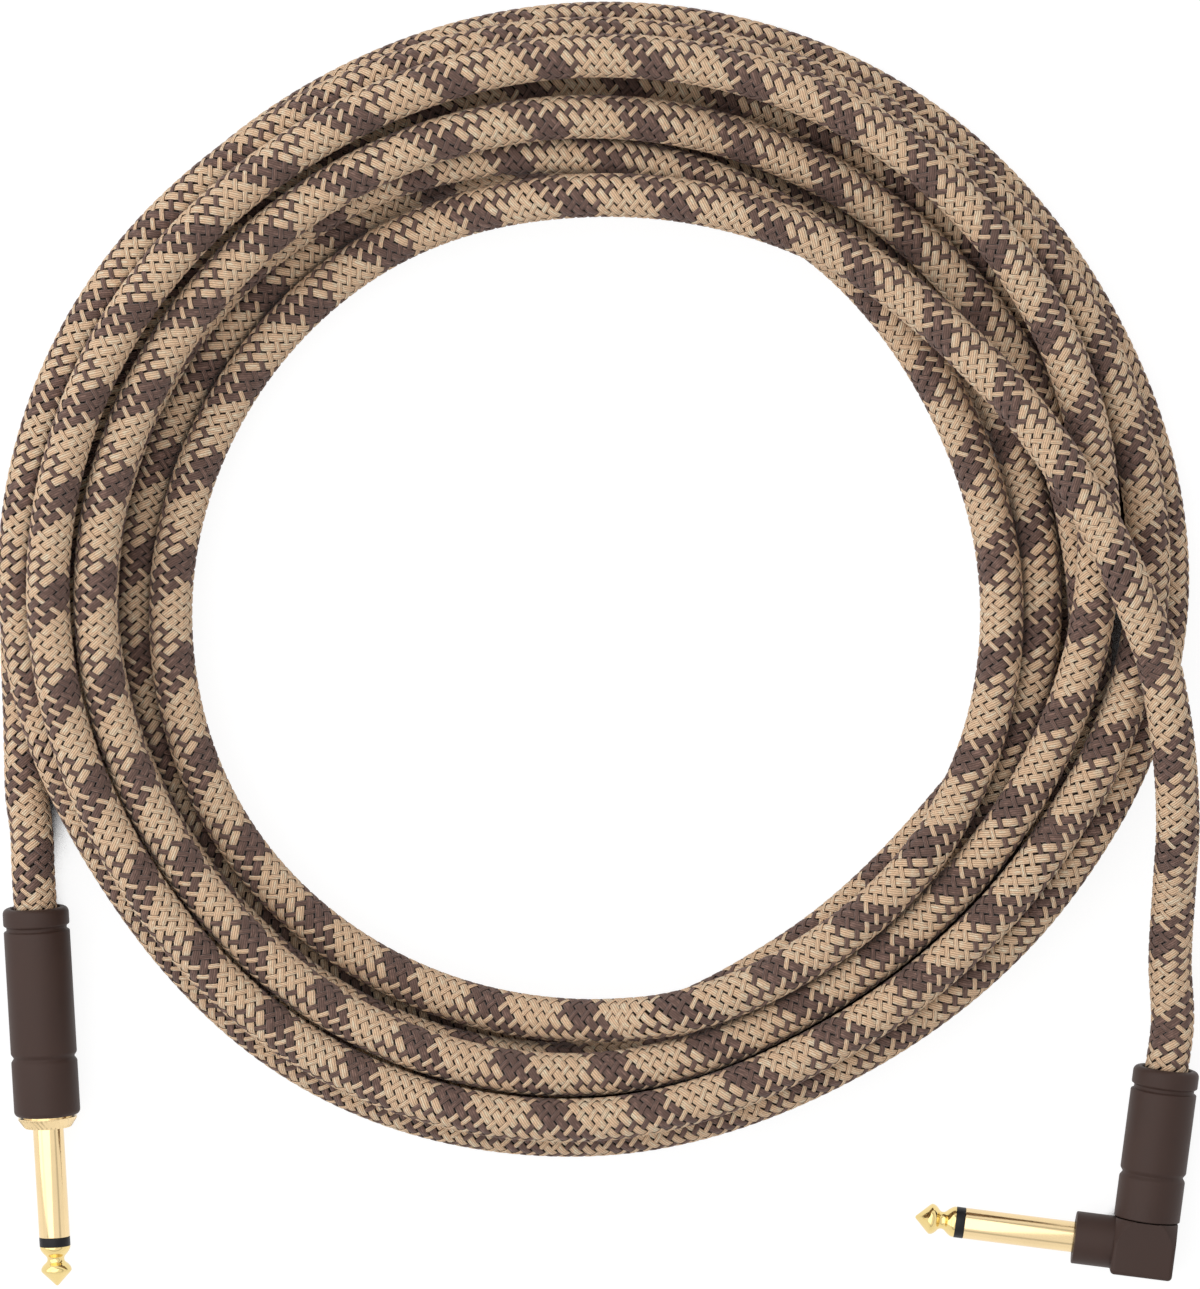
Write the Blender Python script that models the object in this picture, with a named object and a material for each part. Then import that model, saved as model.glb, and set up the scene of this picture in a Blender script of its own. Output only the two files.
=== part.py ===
"""Instrument cable: a braided cord wound in a loose coil, with a straight and a right-angle 6.35 mm plug.

The cable lies flat on a surface at z = 0. +X is to the right and +Y away from the reader, with both
plugs at the -Y side. The origin is on that surface, midway between the far sides of the two plugs.
Each plug is modelled in its own frame, whose +Z runs along the barrel towards the cord, whose +X points
left and whose +Y points up, and whose z = 0 is the plane where the barrel seats when screwed home.
"""

import math

import bmesh
import bpy
import numpy as np
from mathutils import Matrix, Vector

MM = 0.001

# --- Clearances ---------------------------------------------------------------------------------------
GAP = 0.3 * MM  # between pieces that touch on the real cable
CORD_CLEARANCE = 0.8 * MM  # gap of the cord to itself that the settled turns are given

# --- Cord ---------------------------------------------------------------------------------------------
CORD_DIAMETER = 8.6 * MM  # over the woven braid
JACKET_DIAMETER = 6.4 * MM  # black inner jacket under the braid
CORE_DIAMETER = 3.0 * MM  # insulation of the centre wire
WIRE_DIAMETER = 1.0 * MM
SHIELD_TAIL_DIAMETER = 1.6 * MM
FLAT_SHARE = 0.1  # of the cord's diameter, cut flat where the coil rests

# --- Plug fingers, both alike -------------------------------------------------------------------------
FINGER_DIAMETER = 6.35 * MM
SLEEVE_LENGTH = 22.7 * MM
SLEEVE_BORE = 4.8 * MM
RING_LENGTH = 1.6 * MM  # black insulator between sleeve and tip
TIP_LENGTH = 8.2 * MM
# Outline of the tip from its point: (share of the finger's radius, share of the tip's length).
TIP_PROFILE = (
    (0.0, 0.0), (0.08, 0.006), (0.92, 0.335), (0.994, 0.38), (0.987, 0.43), (0.82, 0.53), (0.59, 0.61),
    (0.55, 0.67), (0.59, 0.73), (0.775, 0.81), (0.96, 0.92), (0.994, 0.96), (0.994, 1.0),
)
ROD_DIAMETER = 2.3 * MM

# --- Barrels ------------------------------------------------------------------------------------------
MOUTH_CLEARANCE = 0.7 * MM  # round the cord where it leaves
LIP_DEPTH = 0.7 * MM  # by which the mouth is narrower than the bore, all round
BARREL_WALL = 1.1 * MM
MOUTH_BORE = CORD_DIAMETER + 2 * MOUTH_CLEARANCE
BARREL_BORE = MOUTH_BORE + 2 * LIP_DEPTH
BARREL_DIAMETER = BARREL_BORE + 2 * BARREL_WALL
STRAIGHT_BARREL_LENGTH = 43.2 * MM
ANGLE_BARREL_LENGTH = 31.6 * MM
STRAIGHT_FRONT_BAND = 11.4 * MM  # from the front end to the V groove
ANGLE_FRONT_BAND = 8.6 * MM
STRAIGHT_END_ROUNDING = 1.1 * MM
ANGLE_END_ROUNDING = 0.2 * MM
MOUTH_RING_LENGTH = 3.6 * MM
MOUTH_GROOVE_WIDTH = 1.3 * MM
MOUTH_ROUNDING = 0.9 * MM
INNER_ROUNDING = 0.5 * MM
V_GROOVE_WIDTH = 1.7 * MM
GROOVE_DEPTH = 0.45 * MM
LIP_LENGTH = 5.0 * MM  # wall at the mouth, narrower inside than the bore

# --- Collar of the straight plug, elbow of the right-angle plug -----------------------------------------
FLANGE_DIAMETER = 12.4 * MM
FLANGE_LENGTH = 2.3 * MM
FLANGE_NOSE_DIAMETER = 9.5 * MM
THREAD_LENGTH = 5.0 * MM
THREAD_RELIEF = 0.35 * MM
RELIEF_WIDTH = 0.7 * MM
ELBOW_WIDTH = 12.8 * MM
ELBOW_HEIGHT = 11.4 * MM
ELBOW_ROUNDING = 0.7 * MM
DOME_DEPTH = 7.5 * MM  # height over which the block's corners are turned away
DOME_SHARES = (1.0, 0.7, 0.4, 0.18, 0.06)  # of that height, where its outline has a point
DOME_FULLNESS = 0.7  # power of the outline: 1 is a cone
OVERLAP = 2.0 * MM  # of shapes that are joined, and of cutters past what they cut
FINGER_DROP = 5.5 * MM  # from the barrel's seat to the finger's axis
NOSE_DIAMETER = 10.8 * MM
NOSE_REACH = 14.35 * MM  # from the barrel's axis to the nose's end face
ELBOW_CAVITY = 8.0 * MM
CAVITY_DEPTH = 9.0 * MM

# --- Terminals and insulation inside the barrels --------------------------------------------------------
LINER_WALL = 0.5 * MM
WASHER_LENGTH = 0.8 * MM
WASHER_DIAMETER = 6.6 * MM
LUG_THICKNESS = 0.6 * MM
TIP_LUG_WIDTH = 2.4 * MM
TIP_LUG_DIAMETER = 5.2 * MM
RIVET_DIAMETER = 3.2 * MM
RIVET_LENGTH = 0.5 * MM
CLAMP_CLEARANCE = 0.4 * MM  # round the clamp, inside the liner
CLAMP_PLATE_DIAMETER = BARREL_BORE - 2 * (GAP + LINER_WALL + CLAMP_CLEARANCE)
CLAMP_TONGUE_WIDTH = 3.0 * MM
CLAMP_LENGTH = 4.0 * MM
STRAIGHT_CLAMP_START = 20.0 * MM  # from the barrel's seat
ANGLE_CLAMP_START = 13.0 * MM
JACKET_PROUD = 0.5 * MM  # of the clamp, towards the plug's finger
JACKET_SHOWN = 6.0 * MM  # inner jacket between its cut end and the braid
CORE_SHOWN = 4.0 * MM
WIRE_SHOWN = 5.4 * MM
SHIELD_TAIL_LENGTH = 7.0 * MM

# --- Screw travel ---------------------------------------------------------------------------------------
THREAD_PITCH = 1.0 * MM
BARREL_TRAVEL = 5.0 * MM

# --- Where the pieces lie, measured from the coil's centre ------------------------------------------------
STRAIGHT_MOUTH = (-113.0 * MM, -62.4 * MM)
STRAIGHT_LEAN = math.radians(3.1)  # the barrel leans to the left
ANGLE_MOUTH = (118.9 * MM, -95.6 * MM)
ANGLE_LEAN = math.radians(-7.3)  # the barrel leans to the right

# Radius of each turn of the coil in mm, every 30 degrees anticlockwise from +X, top turn first.
TURNS = (
    (112.5, 95.5, 88.5, 84.5, 84.0, 84.0, 85.0, 86.0, 85.5, 84.5, 84.0, 85.0),
    (84.5, 84.5, 88.5, 92.5, 97.0, 99.5, 100.0, 97.5, 96.0, 94.0, 92.5, 91.5),
    (92.5, 93.0, 92.0, 92.0, 92.0, 92.5, 92.5, 92.0, 91.5, 89.5, 83.5, 85.0),
    (98.5, 106.5, 107.0, 107.0, 106.0, 106.0, 105.5, 104.5, 105.0, 106.5, 108.0, 106.5),
    (102.5, 101.0, 100.5, 100.5, 100.5, 100.5, 100.0, 97.5, 96.5, 95.0, 92.5, 95.5),
    (103.0, 110.5, 114.0, 113.0, 111.0, 111.0, 109.5, 106.5, 106.0, 104.0, 101.5, 105.0),
    (114.0, 117.0, 116.5, 116.0, 115.5, 117.0, 115.5, 110.5, 110.5, 108.5, 107.0, 111.5),
    (118.5, 119.0, 120.0, 118.5, 116.0, 115.0, 115.5),
)
# Which stretch lies over which, as (degrees counted on from turn to turn, rank from there on): a stretch of
# a higher rank rests on any stretch of a lower one that it meets.
RANKS = ((-20, 7), (350, 2), (710, 1), (1060, 0), (1430, 4), (1790, 5), (2170, 3), (2510, 0))
# The coil's two ends: (degrees before the first turn or after the last, radius in mm).
COIL_HEAD = ((-20.0, 128.1), (-11.0, 120.8), (-6.0, 117.3))
COIL_TAIL = ((190.0, 117.0), (195.0, 119.0), (199.0, 121.3))
HEAD_HEIGHT = 20.5 * MM
TAIL_HEIGHT = 4.4 * MM
ROW_STEP = 30
LOOP_POINTS = 24
FINE_STEP = 5  # degrees between the points at which the heights settle
LIFT_REACH = 1  # such points on either side of a crossing that lift with it
SETTLE_STEPS = 400
SETTLE_EASING = 0.5
LAST_STEPS = 80
LAST_EASING = 0.05
SURFACE_CUTTER = (200 * MM, 20 * MM)  # half width and depth of the block that cuts the coil flat
COIL_SINK = 0.4 * MM  # weight of the cord against its stiffness, as a sag between such points

# Free stretches of the cord, (x, y, z) in mm from the coil's centre, each from its plug to the coil.
STRAIGHT_LEAD = ((-113.7, -47.5, 6.0),)
ANGLE_LEAD = ((119.4, -74.0, 9.0), (120.0, -57.0, 14.5))

SIDES = 40
FINE_SIDES = 28
WIRE_SIDES = 12


# --- Materials --------------------------------------------------------------------------------------------
def material(name, colour, roughness, metallic=0.0):
    made = bpy.data.materials.new(name)
    made.use_nodes = True
    shader = made.node_tree.nodes["Principled BSDF"]
    shader.inputs["Base Color"].default_value = (*colour, 1.0)
    shader.inputs["Roughness"].default_value = roughness
    shader.inputs["Metallic"].default_value = metallic
    return made


def give(obj, *look):
    obj.data.materials.append(material(obj.name + "_finish", *look))


BRAID_LOOK = ((0.52, 0.40, 0.29), 0.9)
BARREL_LOOK = ((0.075, 0.055, 0.05), 0.42)
GOLD_LOOK = ((0.93, 0.74, 0.38), 0.18, 1.0)
BLACK_LOOK = ((0.02, 0.02, 0.022), 0.45)
FIBRE_LOOK = ((0.32, 0.16, 0.09), 0.8)
TIN_LOOK = ((0.72, 0.70, 0.66), 0.3, 1.0)
CORE_LOOK = ((0.85, 0.84, 0.80), 0.5)
COPPER_LOOK = ((0.72, 0.38, 0.22), 0.35, 1.0)


# --- Shapes -----------------------------------------------------------------------------------------------
def new_object(name, bm, parent, smooth_degrees=35):
    bmesh.ops.recalc_face_normals(bm, faces=bm.faces)
    mesh = bpy.data.meshes.new(name)
    bm.to_mesh(mesh)
    bm.free()
    mesh.shade_smooth()
    mesh.set_sharp_from_angle(angle=math.radians(smooth_degrees))
    obj = bpy.data.objects.new(name, mesh)
    bpy.context.collection.objects.link(obj)
    obj.parent = parent
    return obj


def turned_mesh(outline, sides, turn=None):
    """A closed (radius, height) outline spun round Z; turn then places it."""
    bm = bmesh.new()
    corners = [bm.verts.new((radius, 0.0, height)) for radius, height in outline]
    edges = [bm.edges.new((a, b)) for a, b in zip(corners, corners[1:])]
    if min(outline[0][0], outline[-1][0]) > 0:
        edges.append(bm.edges.new((corners[-1], corners[0])))
    bmesh.ops.spin(bm, geom=corners + edges, cent=(0, 0, 0), axis=(0, 0, 1), angle=2 * math.pi, steps=sides)
    bmesh.ops.remove_doubles(bm, verts=bm.verts, dist=1e-7)
    if turn:
        bmesh.ops.transform(bm, matrix=turn, verts=bm.verts)
    return bm


def turned(name, outline, parent, sides=SIDES, turn=None):
    return new_object(name, turned_mesh(outline, sides, turn), parent)


def pipe_outline(inner, outer, low, high):
    return ((inner, low), (outer, low), (outer, high), (inner, high))


def rod_outline(radius, low, high):
    return ((0.0, low), (radius, low), (radius, high), (0.0, high))


def box_mesh(low, high):
    bm = bmesh.new()
    bmesh.ops.create_cube(bm, size=1.0)
    low, high = Vector(low), Vector(high)
    for vert in bm.verts:
        vert.co = Vector((low[i] + (vert.co[i] + 0.5) * (high[i] - low[i]) for i in range(3)))
    return bm


def combine(target, tool, operation):
    """Joins or cuts with a helper, which is then hidden from the build."""
    tool.hide_render = True
    tool.display_type = "WIRE"
    step = target.modifiers.new(operation.title(), "BOOLEAN")
    step.operation = operation
    step.solver = "EXACT"
    step.object = tool


def arc(centre_radius, centre_height, radius, start, end, steps=4):
    """Points of a round corner in an outline, angles in degrees from the radial direction."""
    angles = [math.radians(start + (end - start) * i / steps) for i in range(steps + 1)]
    return [(centre_radius + radius * math.cos(a), centre_height + radius * math.sin(a)) for a in angles]


def empty(name, matrix, parent=None):
    obj = bpy.data.objects.new(name, None)
    bpy.context.collection.objects.link(obj)
    obj.parent = parent
    obj.matrix_local = matrix
    return obj


# --- Plug finger: sleeve, insulating ring, tip with its rod, inner insulator ---------------------------------
def finger(side, parent, turn, sleeve_end, insulator_end, rod_end):
    """The finger along its own -Z, from its shoulder at 0 to the point; turn places it in the plug."""
    outer = FINGER_DIAMETER / 2
    bore = SLEEVE_BORE / 2
    insulator_outer = bore - GAP
    rod = ROD_DIAMETER / 2
    insulator_inner = rod + GAP
    sleeve_front = -SLEEVE_LENGTH
    ring_back = sleeve_front - GAP
    ring_front = sleeve_front - RING_LENGTH
    tip_back = ring_front - GAP
    point = tip_back - TIP_LENGTH

    sleeve = turned(side + "_sleeve", pipe_outline(bore, outer, sleeve_front, sleeve_end), parent, SIDES, turn)
    give(sleeve, *GOLD_LOOK)
    ring_outline = pipe_outline(insulator_inner, outer, ring_front, ring_back)
    ring = turned(side + "_tip_insulator", ring_outline, parent, SIDES, turn)
    give(ring, *BLACK_LOOK)
    inner_outline = pipe_outline(insulator_inner, insulator_outer, ring_back + GAP, insulator_end)
    inner = turned(side + "_inner_insulator", inner_outline, parent, FINE_SIDES, turn)
    give(inner, *BLACK_LOOK)

    outline = [(radius * outer, point + height * TIP_LENGTH) for radius, height in TIP_PROFILE]
    rivet = RIVET_DIAMETER / 2
    rivet_start = rod_end - RIVET_LENGTH
    outline += [(rod, tip_back), (rod, rivet_start), (rivet, rivet_start), (rivet, rod_end), (0.0, rod_end)]
    tip = turned(side + "_tip", outline, parent, SIDES, turn)
    give(tip, *GOLD_LOOK)


# --- Barrel and liner ---------------------------------------------------------------------------------------
def barrel(side, parent, length, front_band, end_rounding):
    """The shell that screws on: seat at z = 0, mouth at z = length."""
    outer = BARREL_DIAMETER / 2
    bore = BARREL_BORE / 2
    mouth = MOUTH_BORE / 2
    start = GAP / 2
    ring_start = length - MOUTH_RING_LENGTH
    groove_end = ring_start - MOUTH_GROOVE_WIDTH
    band_end = front_band + V_GROOVE_WIDTH
    outline = [(bore, start), (outer - end_rounding, start)]
    outline += arc(outer - end_rounding, start + end_rounding, end_rounding, -60, 0, 3)
    outline += [
        (outer, front_band),
        (outer - GROOVE_DEPTH, front_band + 0.5 * V_GROOVE_WIDTH),
        (outer, band_end),
        (outer, groove_end),
        (outer - GROOVE_DEPTH, groove_end + 0.3 * MOUTH_GROOVE_WIDTH),
        (outer - GROOVE_DEPTH, ring_start - 0.3 * MOUTH_GROOVE_WIDTH),
        (outer, ring_start),
    ]
    outline += arc(outer - MOUTH_ROUNDING, length - MOUTH_ROUNDING, MOUTH_ROUNDING, 0, 90, 4)
    outline += arc(mouth + INNER_ROUNDING, length - INNER_ROUNDING, INNER_ROUNDING, 90, 180, 3)
    outline += [(mouth, length - LIP_LENGTH), (bore, length - LIP_LENGTH)]
    shell = turned(side + "_barrel", outline, parent, SIDES)
    give(shell, *BARREL_LOOK)

    liner_outer = bore - GAP
    liner_end = length - LIP_LENGTH - GAP
    liner_outline = pipe_outline(liner_outer - LINER_WALL, liner_outer, THREAD_LENGTH + GAP, liner_end)
    liner = turned(side + "_liner", liner_outline, parent, FINE_SIDES)
    give(liner, *BLACK_LOOK)


# --- Threaded seats -----------------------------------------------------------------------------------------
def thread_profile(inner):
    """Outer side of a male thread from its relief groove at the seat to its lead-in at the end."""
    crest = BARREL_BORE / 2 - GAP
    return [
        (crest - THREAD_RELIEF, -GAP / 2),
        (crest - THREAD_RELIEF, RELIEF_WIDTH),
        (crest, RELIEF_WIDTH + THREAD_RELIEF),
        (crest, THREAD_LENGTH - THREAD_RELIEF),
        (crest - THREAD_RELIEF, THREAD_LENGTH),
        (inner, THREAD_LENGTH),
    ]


def knurled_collar(parent):
    """Gold flange with the male thread behind it, bored for the sleeve and for the inner insulator."""
    flange = FLANGE_DIAMETER / 2
    seat = FINGER_DIAMETER / 2 + GAP
    bore = SLEEVE_BORE / 2
    outline = [
        (seat, -FLANGE_LENGTH),
        (FLANGE_NOSE_DIAMETER / 2, -FLANGE_LENGTH),
        (flange, -0.5 * FLANGE_LENGTH),
        (flange, -GAP / 2),
    ]
    outline += thread_profile(bore)
    outline += [(bore, 0.0), (seat, 0.0)]
    collar = turned("straight_knurled_collar", outline, parent, SIDES)
    give(collar, *GOLD_LOOK)


def elbow(parent):
    """Square block turned round at its seat, with a round nose for the finger and a cavity for the wires."""
    half = ELBOW_WIDTH / 2
    corner = half * math.sqrt(2) + GAP
    seat = BARREL_DIAMETER / 2
    block_mesh = box_mesh((-half, -half, -ELBOW_HEIGHT), (half, half, OVERLAP))
    block = new_object("angle_elbow", block_mesh, parent)
    bevel = block.modifiers.new("Soft edges", "BEVEL")
    bevel.width = ELBOW_ROUNDING
    bevel.segments = 2
    bevel.limit_method = "ANGLE"

    dome = [(0.0, -ELBOW_HEIGHT - OVERLAP), (corner, -ELBOW_HEIGHT - OVERLAP)]
    for share in DOME_SHARES:
        dome.append((seat + (corner - seat) * share**DOME_FULLNESS, -DOME_DEPTH * share))
    dome += [(seat, -GAP / 2), (0.0, -GAP / 2)]
    combine(block, turned("elbow_turning", dome, parent, SIDES), "INTERSECT")

    sideways = Matrix.Translation((0, 0, -FINGER_DROP)) @ Matrix.Rotation(math.radians(90), 4, "Y")
    nose = turned("elbow_nose", rod_outline(NOSE_DIAMETER / 2, OVERLAP, NOSE_REACH), parent, SIDES, sideways)
    combine(block, nose, "UNION")
    thread = thread_profile(0.0)
    boss = [(0.0, -OVERLAP), (thread[0][0], -OVERLAP)] + thread[1:]
    combine(block, turned("elbow_thread", boss, parent, SIDES), "UNION")
    cavity = rod_outline(ELBOW_CAVITY / 2, -CAVITY_DEPTH, THREAD_LENGTH + OVERLAP)
    combine(block, turned("elbow_cavity", cavity, parent, FINE_SIDES), "DIFFERENCE")
    bore = rod_outline(FINGER_DIAMETER / 2 + GAP, 0.0, NOSE_REACH + OVERLAP)
    combine(block, turned("elbow_finger_bore", bore, parent, SIDES, sideways), "DIFFERENCE")
    give(block, *BARREL_LOOK)


# --- Terminals ----------------------------------------------------------------------------------------------
def tip_lug(name, parent, hole_at, turn, tongue_low, tongue_high):
    """Solder lug for the centre wire: a washer round the rod and a tongue to the wire."""
    outline = pipe_outline(ROD_DIAMETER / 2 + GAP, TIP_LUG_DIAMETER / 2, hole_at, hole_at + LUG_THICKNESS)
    ring = turned(name, outline, parent, FINE_SIDES, turn)
    combine(ring, new_object(name + "_tongue", box_mesh(tongue_low, tongue_high), parent), "UNION")
    give(ring, *TIN_LOOK)


def cable_clamp(side, parent, hole, clamp_start):
    """Ground lug: a plate on the threaded boss, a tongue along the liner and a band round the jacket."""
    start = THREAD_LENGTH + GAP
    end = clamp_start + CLAMP_LENGTH
    outer = CLAMP_PLATE_DIAMETER / 2
    inset = LUG_THICKNESS / 3
    half = CLAMP_TONGUE_WIDTH / 2
    band = JACKET_DIAMETER / 2 + GAP
    plate_outline = pipe_outline(hole / 2, outer, start, start + LUG_THICKNESS)
    clamp = turned(side + "_cable_clamp", plate_outline, parent, FINE_SIDES)
    low = (-half, inset - outer, start + inset)
    high = (half, inset - outer + LUG_THICKNESS, end - inset)
    combine(clamp, new_object(side + "_clamp_tongue", box_mesh(low, high), parent), "UNION")
    band_outline = pipe_outline(band, band + LUG_THICKNESS, clamp_start, end)
    combine(clamp, turned(side + "_clamp_band", band_outline, parent, FINE_SIDES), "UNION")
    give(clamp, *TIN_LOOK)


def wire_ends(side, parent, clamp_start, wire_height):
    """What the braid hides: inner jacket, centre wire with its insulation, and the twisted shield."""
    jacket_start = clamp_start - JACKET_PROUD
    jacket_end = jacket_start + JACKET_SHOWN
    jacket_outline = rod_outline(JACKET_DIAMETER / 2, jacket_start, jacket_end)
    jacket = turned(side + "_inner_jacket", jacket_outline, parent, FINE_SIDES)
    give(jacket, *BLACK_LOOK)
    core_start = wire_reach(clamp_start) + 2 * GAP
    lifted = Matrix.Translation((0, wire_height, 0))
    core_outline = rod_outline(CORE_DIAMETER / 2, core_start, jacket_start - GAP)
    core = turned(side + "_core_insulation", core_outline, parent, FINE_SIDES, lifted)
    give(core, *CORE_LOOK)
    wire_outline = rod_outline(WIRE_DIAMETER / 2, core_start - GAP - WIRE_SHOWN, core_start - GAP)
    wire = turned(side + "_centre_wire", wire_outline, parent, WIRE_SIDES, lifted)
    give(wire, *COPPER_LOOK)
    drop = CORE_DIAMETER / 2 + GAP + SHIELD_TAIL_DIAMETER / 2
    tail_outline = rod_outline(SHIELD_TAIL_DIAMETER / 2, jacket_start - GAP - SHIELD_TAIL_LENGTH, jacket_start - GAP)
    tail = turned(side + "_shield_tail", tail_outline, parent, WIRE_SIDES, Matrix.Translation((0, -drop, 0)))
    give(tail, *COPPER_LOOK)
    return jacket_end + GAP


def wire_reach(clamp_start):
    """Where a lug's tongue ends, just short of the centre wire's insulation."""
    return clamp_start - JACKET_PROUD - GAP - CORE_SHOWN - 2 * GAP


# --- Cord route ---------------------------------------------------------------------------------------------
def smooth(keys, values, at):
    """A cubic through the values, with each slope taken from its neighbours."""
    keys, values, at = np.asarray(keys, float), np.asarray(values, float), np.asarray(at, float)
    slopes = np.gradient(values, keys, axis=0)
    left = np.clip(np.searchsorted(keys, at, side="right") - 1, 0, len(keys) - 2)
    span = keys[left + 1] - keys[left]
    t = (at - keys[left]) / span
    if values.ndim > 1:
        t, span = t[:, None], span[:, None]
    return (
        values[left] * (1 + 2 * t) * (1 - t) ** 2
        + slopes[left] * span * t * (1 - t) ** 2
        + values[left + 1] * t * t * (3 - 2 * t)
        + slopes[left + 1] * span * t * t * (t - 1)
    )


def coil_radius(degrees):
    """Radius of the cord at each angle along the whole coil, counted on from turn to turn."""
    keys = [angle for angle, _ in COIL_HEAD]
    radii = [radius for _, radius in COIL_HEAD]
    for number, turn in enumerate(TURNS):
        keys += [360 * number + ROW_STEP * i for i in range(len(turn))]
        radii += turn
    last = 360 * (len(TURNS) - 1)
    keys += [last + angle for angle, _ in COIL_TAIL]
    radii += [radius for _, radius in COIL_TAIL]
    return smooth(keys, radii, degrees) * MM


def coil_rank(degrees):
    """Rank of the cord at each angle."""
    starts = [start for start, _ in RANKS]
    ranks = np.asarray([rank for _, rank in RANKS])
    return ranks[np.searchsorted(starts, degrees, side="right") - 1]


def widened(values, reach):
    """The largest value within reach places on either side."""
    padded = np.pad(values, reach)
    return np.max([padded[i : i + len(values)] for i in range(2 * reach + 1)], axis=0)


def settle(degrees, radii, ranks, floor, spacing):
    """Heights of the turns: each sinks until it meets the surface or a turn of a lower rank."""
    loop = round(360 / FINE_STEP)
    slope = np.gradient(radii, np.radians(degrees)) / radii
    across = 1 / np.sqrt(1 + slope**2)
    heights = np.full(len(radii), floor)
    pairs = []
    for turns in range(1, len(TURNS)):
        near = np.arange(len(radii) - loop * turns)
        far = near + loop * turns
        apart = np.abs(radii[near] - radii[far]) * np.minimum(across[near], across[far])
        lift = widened(np.sqrt(np.maximum(spacing**2 - apart**2, 0)), LIFT_REACH)
        touching = lift > 0
        near_on_top = ranks[near] > ranks[far]
        upper = np.where(near_on_top, near, far)[touching]
        lower = np.where(near_on_top, far, near)[touching]
        pairs.append((upper, lower, lift[touching]))
    for step in range(SETTLE_STEPS):
        level = heights.copy()
        level[2:-2] = (heights[:-4] + heights[1:-3] + heights[3:-1] + heights[4:]) / 4
        easing = SETTLE_EASING if step < SETTLE_STEPS - LAST_STEPS else LAST_EASING
        heights = np.maximum(heights + easing * (level - heights - COIL_SINK), floor)
        heights[0], heights[-1] = HEAD_HEIGHT, TAIL_HEIGHT
        for _ in range(3):
            for upper, lower, lift in pairs:
                np.maximum.at(heights, upper, heights[lower] + lift)
    return heights


def coil_points():
    """Centre of the cord at LOOP_POINTS points a loop, with its height from the settled pile."""
    start, end = COIL_HEAD[0][0], 360 * (len(TURNS) - 1) + COIL_TAIL[-1][0]
    fine = np.arange(FINE_STEP * math.ceil(start / FINE_STEP), end, FINE_STEP)
    spacing = CORD_DIAMETER + CORD_CLEARANCE
    floor = CORD_DIAMETER * (0.5 - FLAT_SHARE)
    heights = settle(fine, coil_radius(fine), coil_rank(fine), floor, spacing)
    step = 360 / LOOP_POINTS
    angles = np.arange(step * math.ceil(start / step), end, step)
    angles = np.concatenate([[start], angles[angles > start + step / 4], [end]])
    radii = coil_radius(angles)
    z = np.interp(angles, fine, heights)
    turn = np.radians(angles)
    return np.stack([radii * np.cos(turn), radii * np.sin(turn), z], axis=1)


def least_gap(points):
    """Least clear distance of the cord to itself, from points along its steps to the steps of other turns."""
    starts, runs = points[:-1], np.diff(points, axis=0)
    least = math.inf
    for place in np.arange(0, len(runs), 0.25):
        step = int(place)
        point = starts[step] + runs[step] * (place - step)
        share = np.clip(((point - starts) * runs).sum(1) / (runs**2).sum(1), 0, 1)
        distance = np.linalg.norm(starts + runs * share[:, None] - point, axis=1)
        elsewhere = np.abs(np.arange(len(runs)) - place) > LOOP_POINTS / 4
        least = min(least, distance[elsewhere].min())
    return least - CORD_DIAMETER


def tube(name, points, resolution, parent):
    curve = bpy.data.curves.new(name, "CURVE")
    curve.dimensions = "3D"
    curve.bevel_depth = CORD_DIAMETER / 2
    curve.bevel_resolution = resolution
    curve.use_fill_caps = True
    spline = curve.splines.new("POLY")
    spline.points.add(len(points) - 1)
    for place, point in zip(spline.points, points):
        place.co = (*point, 1.0)
    obj = bpy.data.objects.new(name, curve)
    bpy.context.collection.objects.link(obj)
    obj.parent = parent
    return obj


def as_mesh(obj):
    """The same tube as a mesh object, so that it can be cut."""
    bpy.context.view_layer.update()
    evaluated = obj.evaluated_get(bpy.context.evaluated_depsgraph_get())
    mesh = bpy.data.meshes.new_from_object(evaluated)
    name, parent = obj.name, obj.parent
    bpy.data.objects.remove(obj)
    bm = bmesh.new()
    bm.from_mesh(mesh)
    bmesh.ops.remove_doubles(bm, verts=bm.verts, dist=1e-7)
    bpy.data.meshes.remove(mesh)
    return new_object(name, bm, parent)


def coil_run(points):
    """The coil's points with both ends straight for one diameter and half a gap short of the leads."""
    start, end = points[0], points[-1]
    away = (points[1] - start).normalized()
    back = (points[-2] - end).normalized()
    clear = 1.2 * CORD_DIAMETER
    inner = [p for p in points if (p - start).length > clear and (p - end).length > clear]
    head = [start + away * GAP / 2, start + away * CORD_DIAMETER]
    tail = [end + back * CORD_DIAMETER, end + back * GAP / 2]
    return head + inner + tail


def lead(name, root, plug, cord_start, mouth, waypoints, join, beyond):
    """The free stretch from inside a plug's barrel to the coil, which it meets at join on the way to beyond."""
    to_root = root.matrix_world.inverted() @ plug.matrix_world
    inside = to_root @ Vector((0, 0, cord_start))
    at_mouth = to_root @ Vector((0, 0, mouth))
    outside = to_root @ Vector((0, 0, mouth + CORD_DIAMETER))
    keys = [at_mouth, outside] + [Vector(p) * MM for p in waypoints] + [join, beyond]
    along = np.cumsum([0.0] + [(b - a).length for a, b in zip(keys, keys[1:])])
    steps = max(2, round((along[-2] - along[1]) / (2 * CORD_DIAMETER)))
    at = np.linspace(along[1], along[-2], steps + 1)[1:-1]
    free = smooth(along, [list(k) for k in keys], at)
    onward = (beyond - join).normalized()
    points = [inside, outside] + [Vector(p) for p in free]
    points += [join - onward * CORD_DIAMETER, join - onward * GAP / 2]
    return tube(name, points, 2, root)


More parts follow.
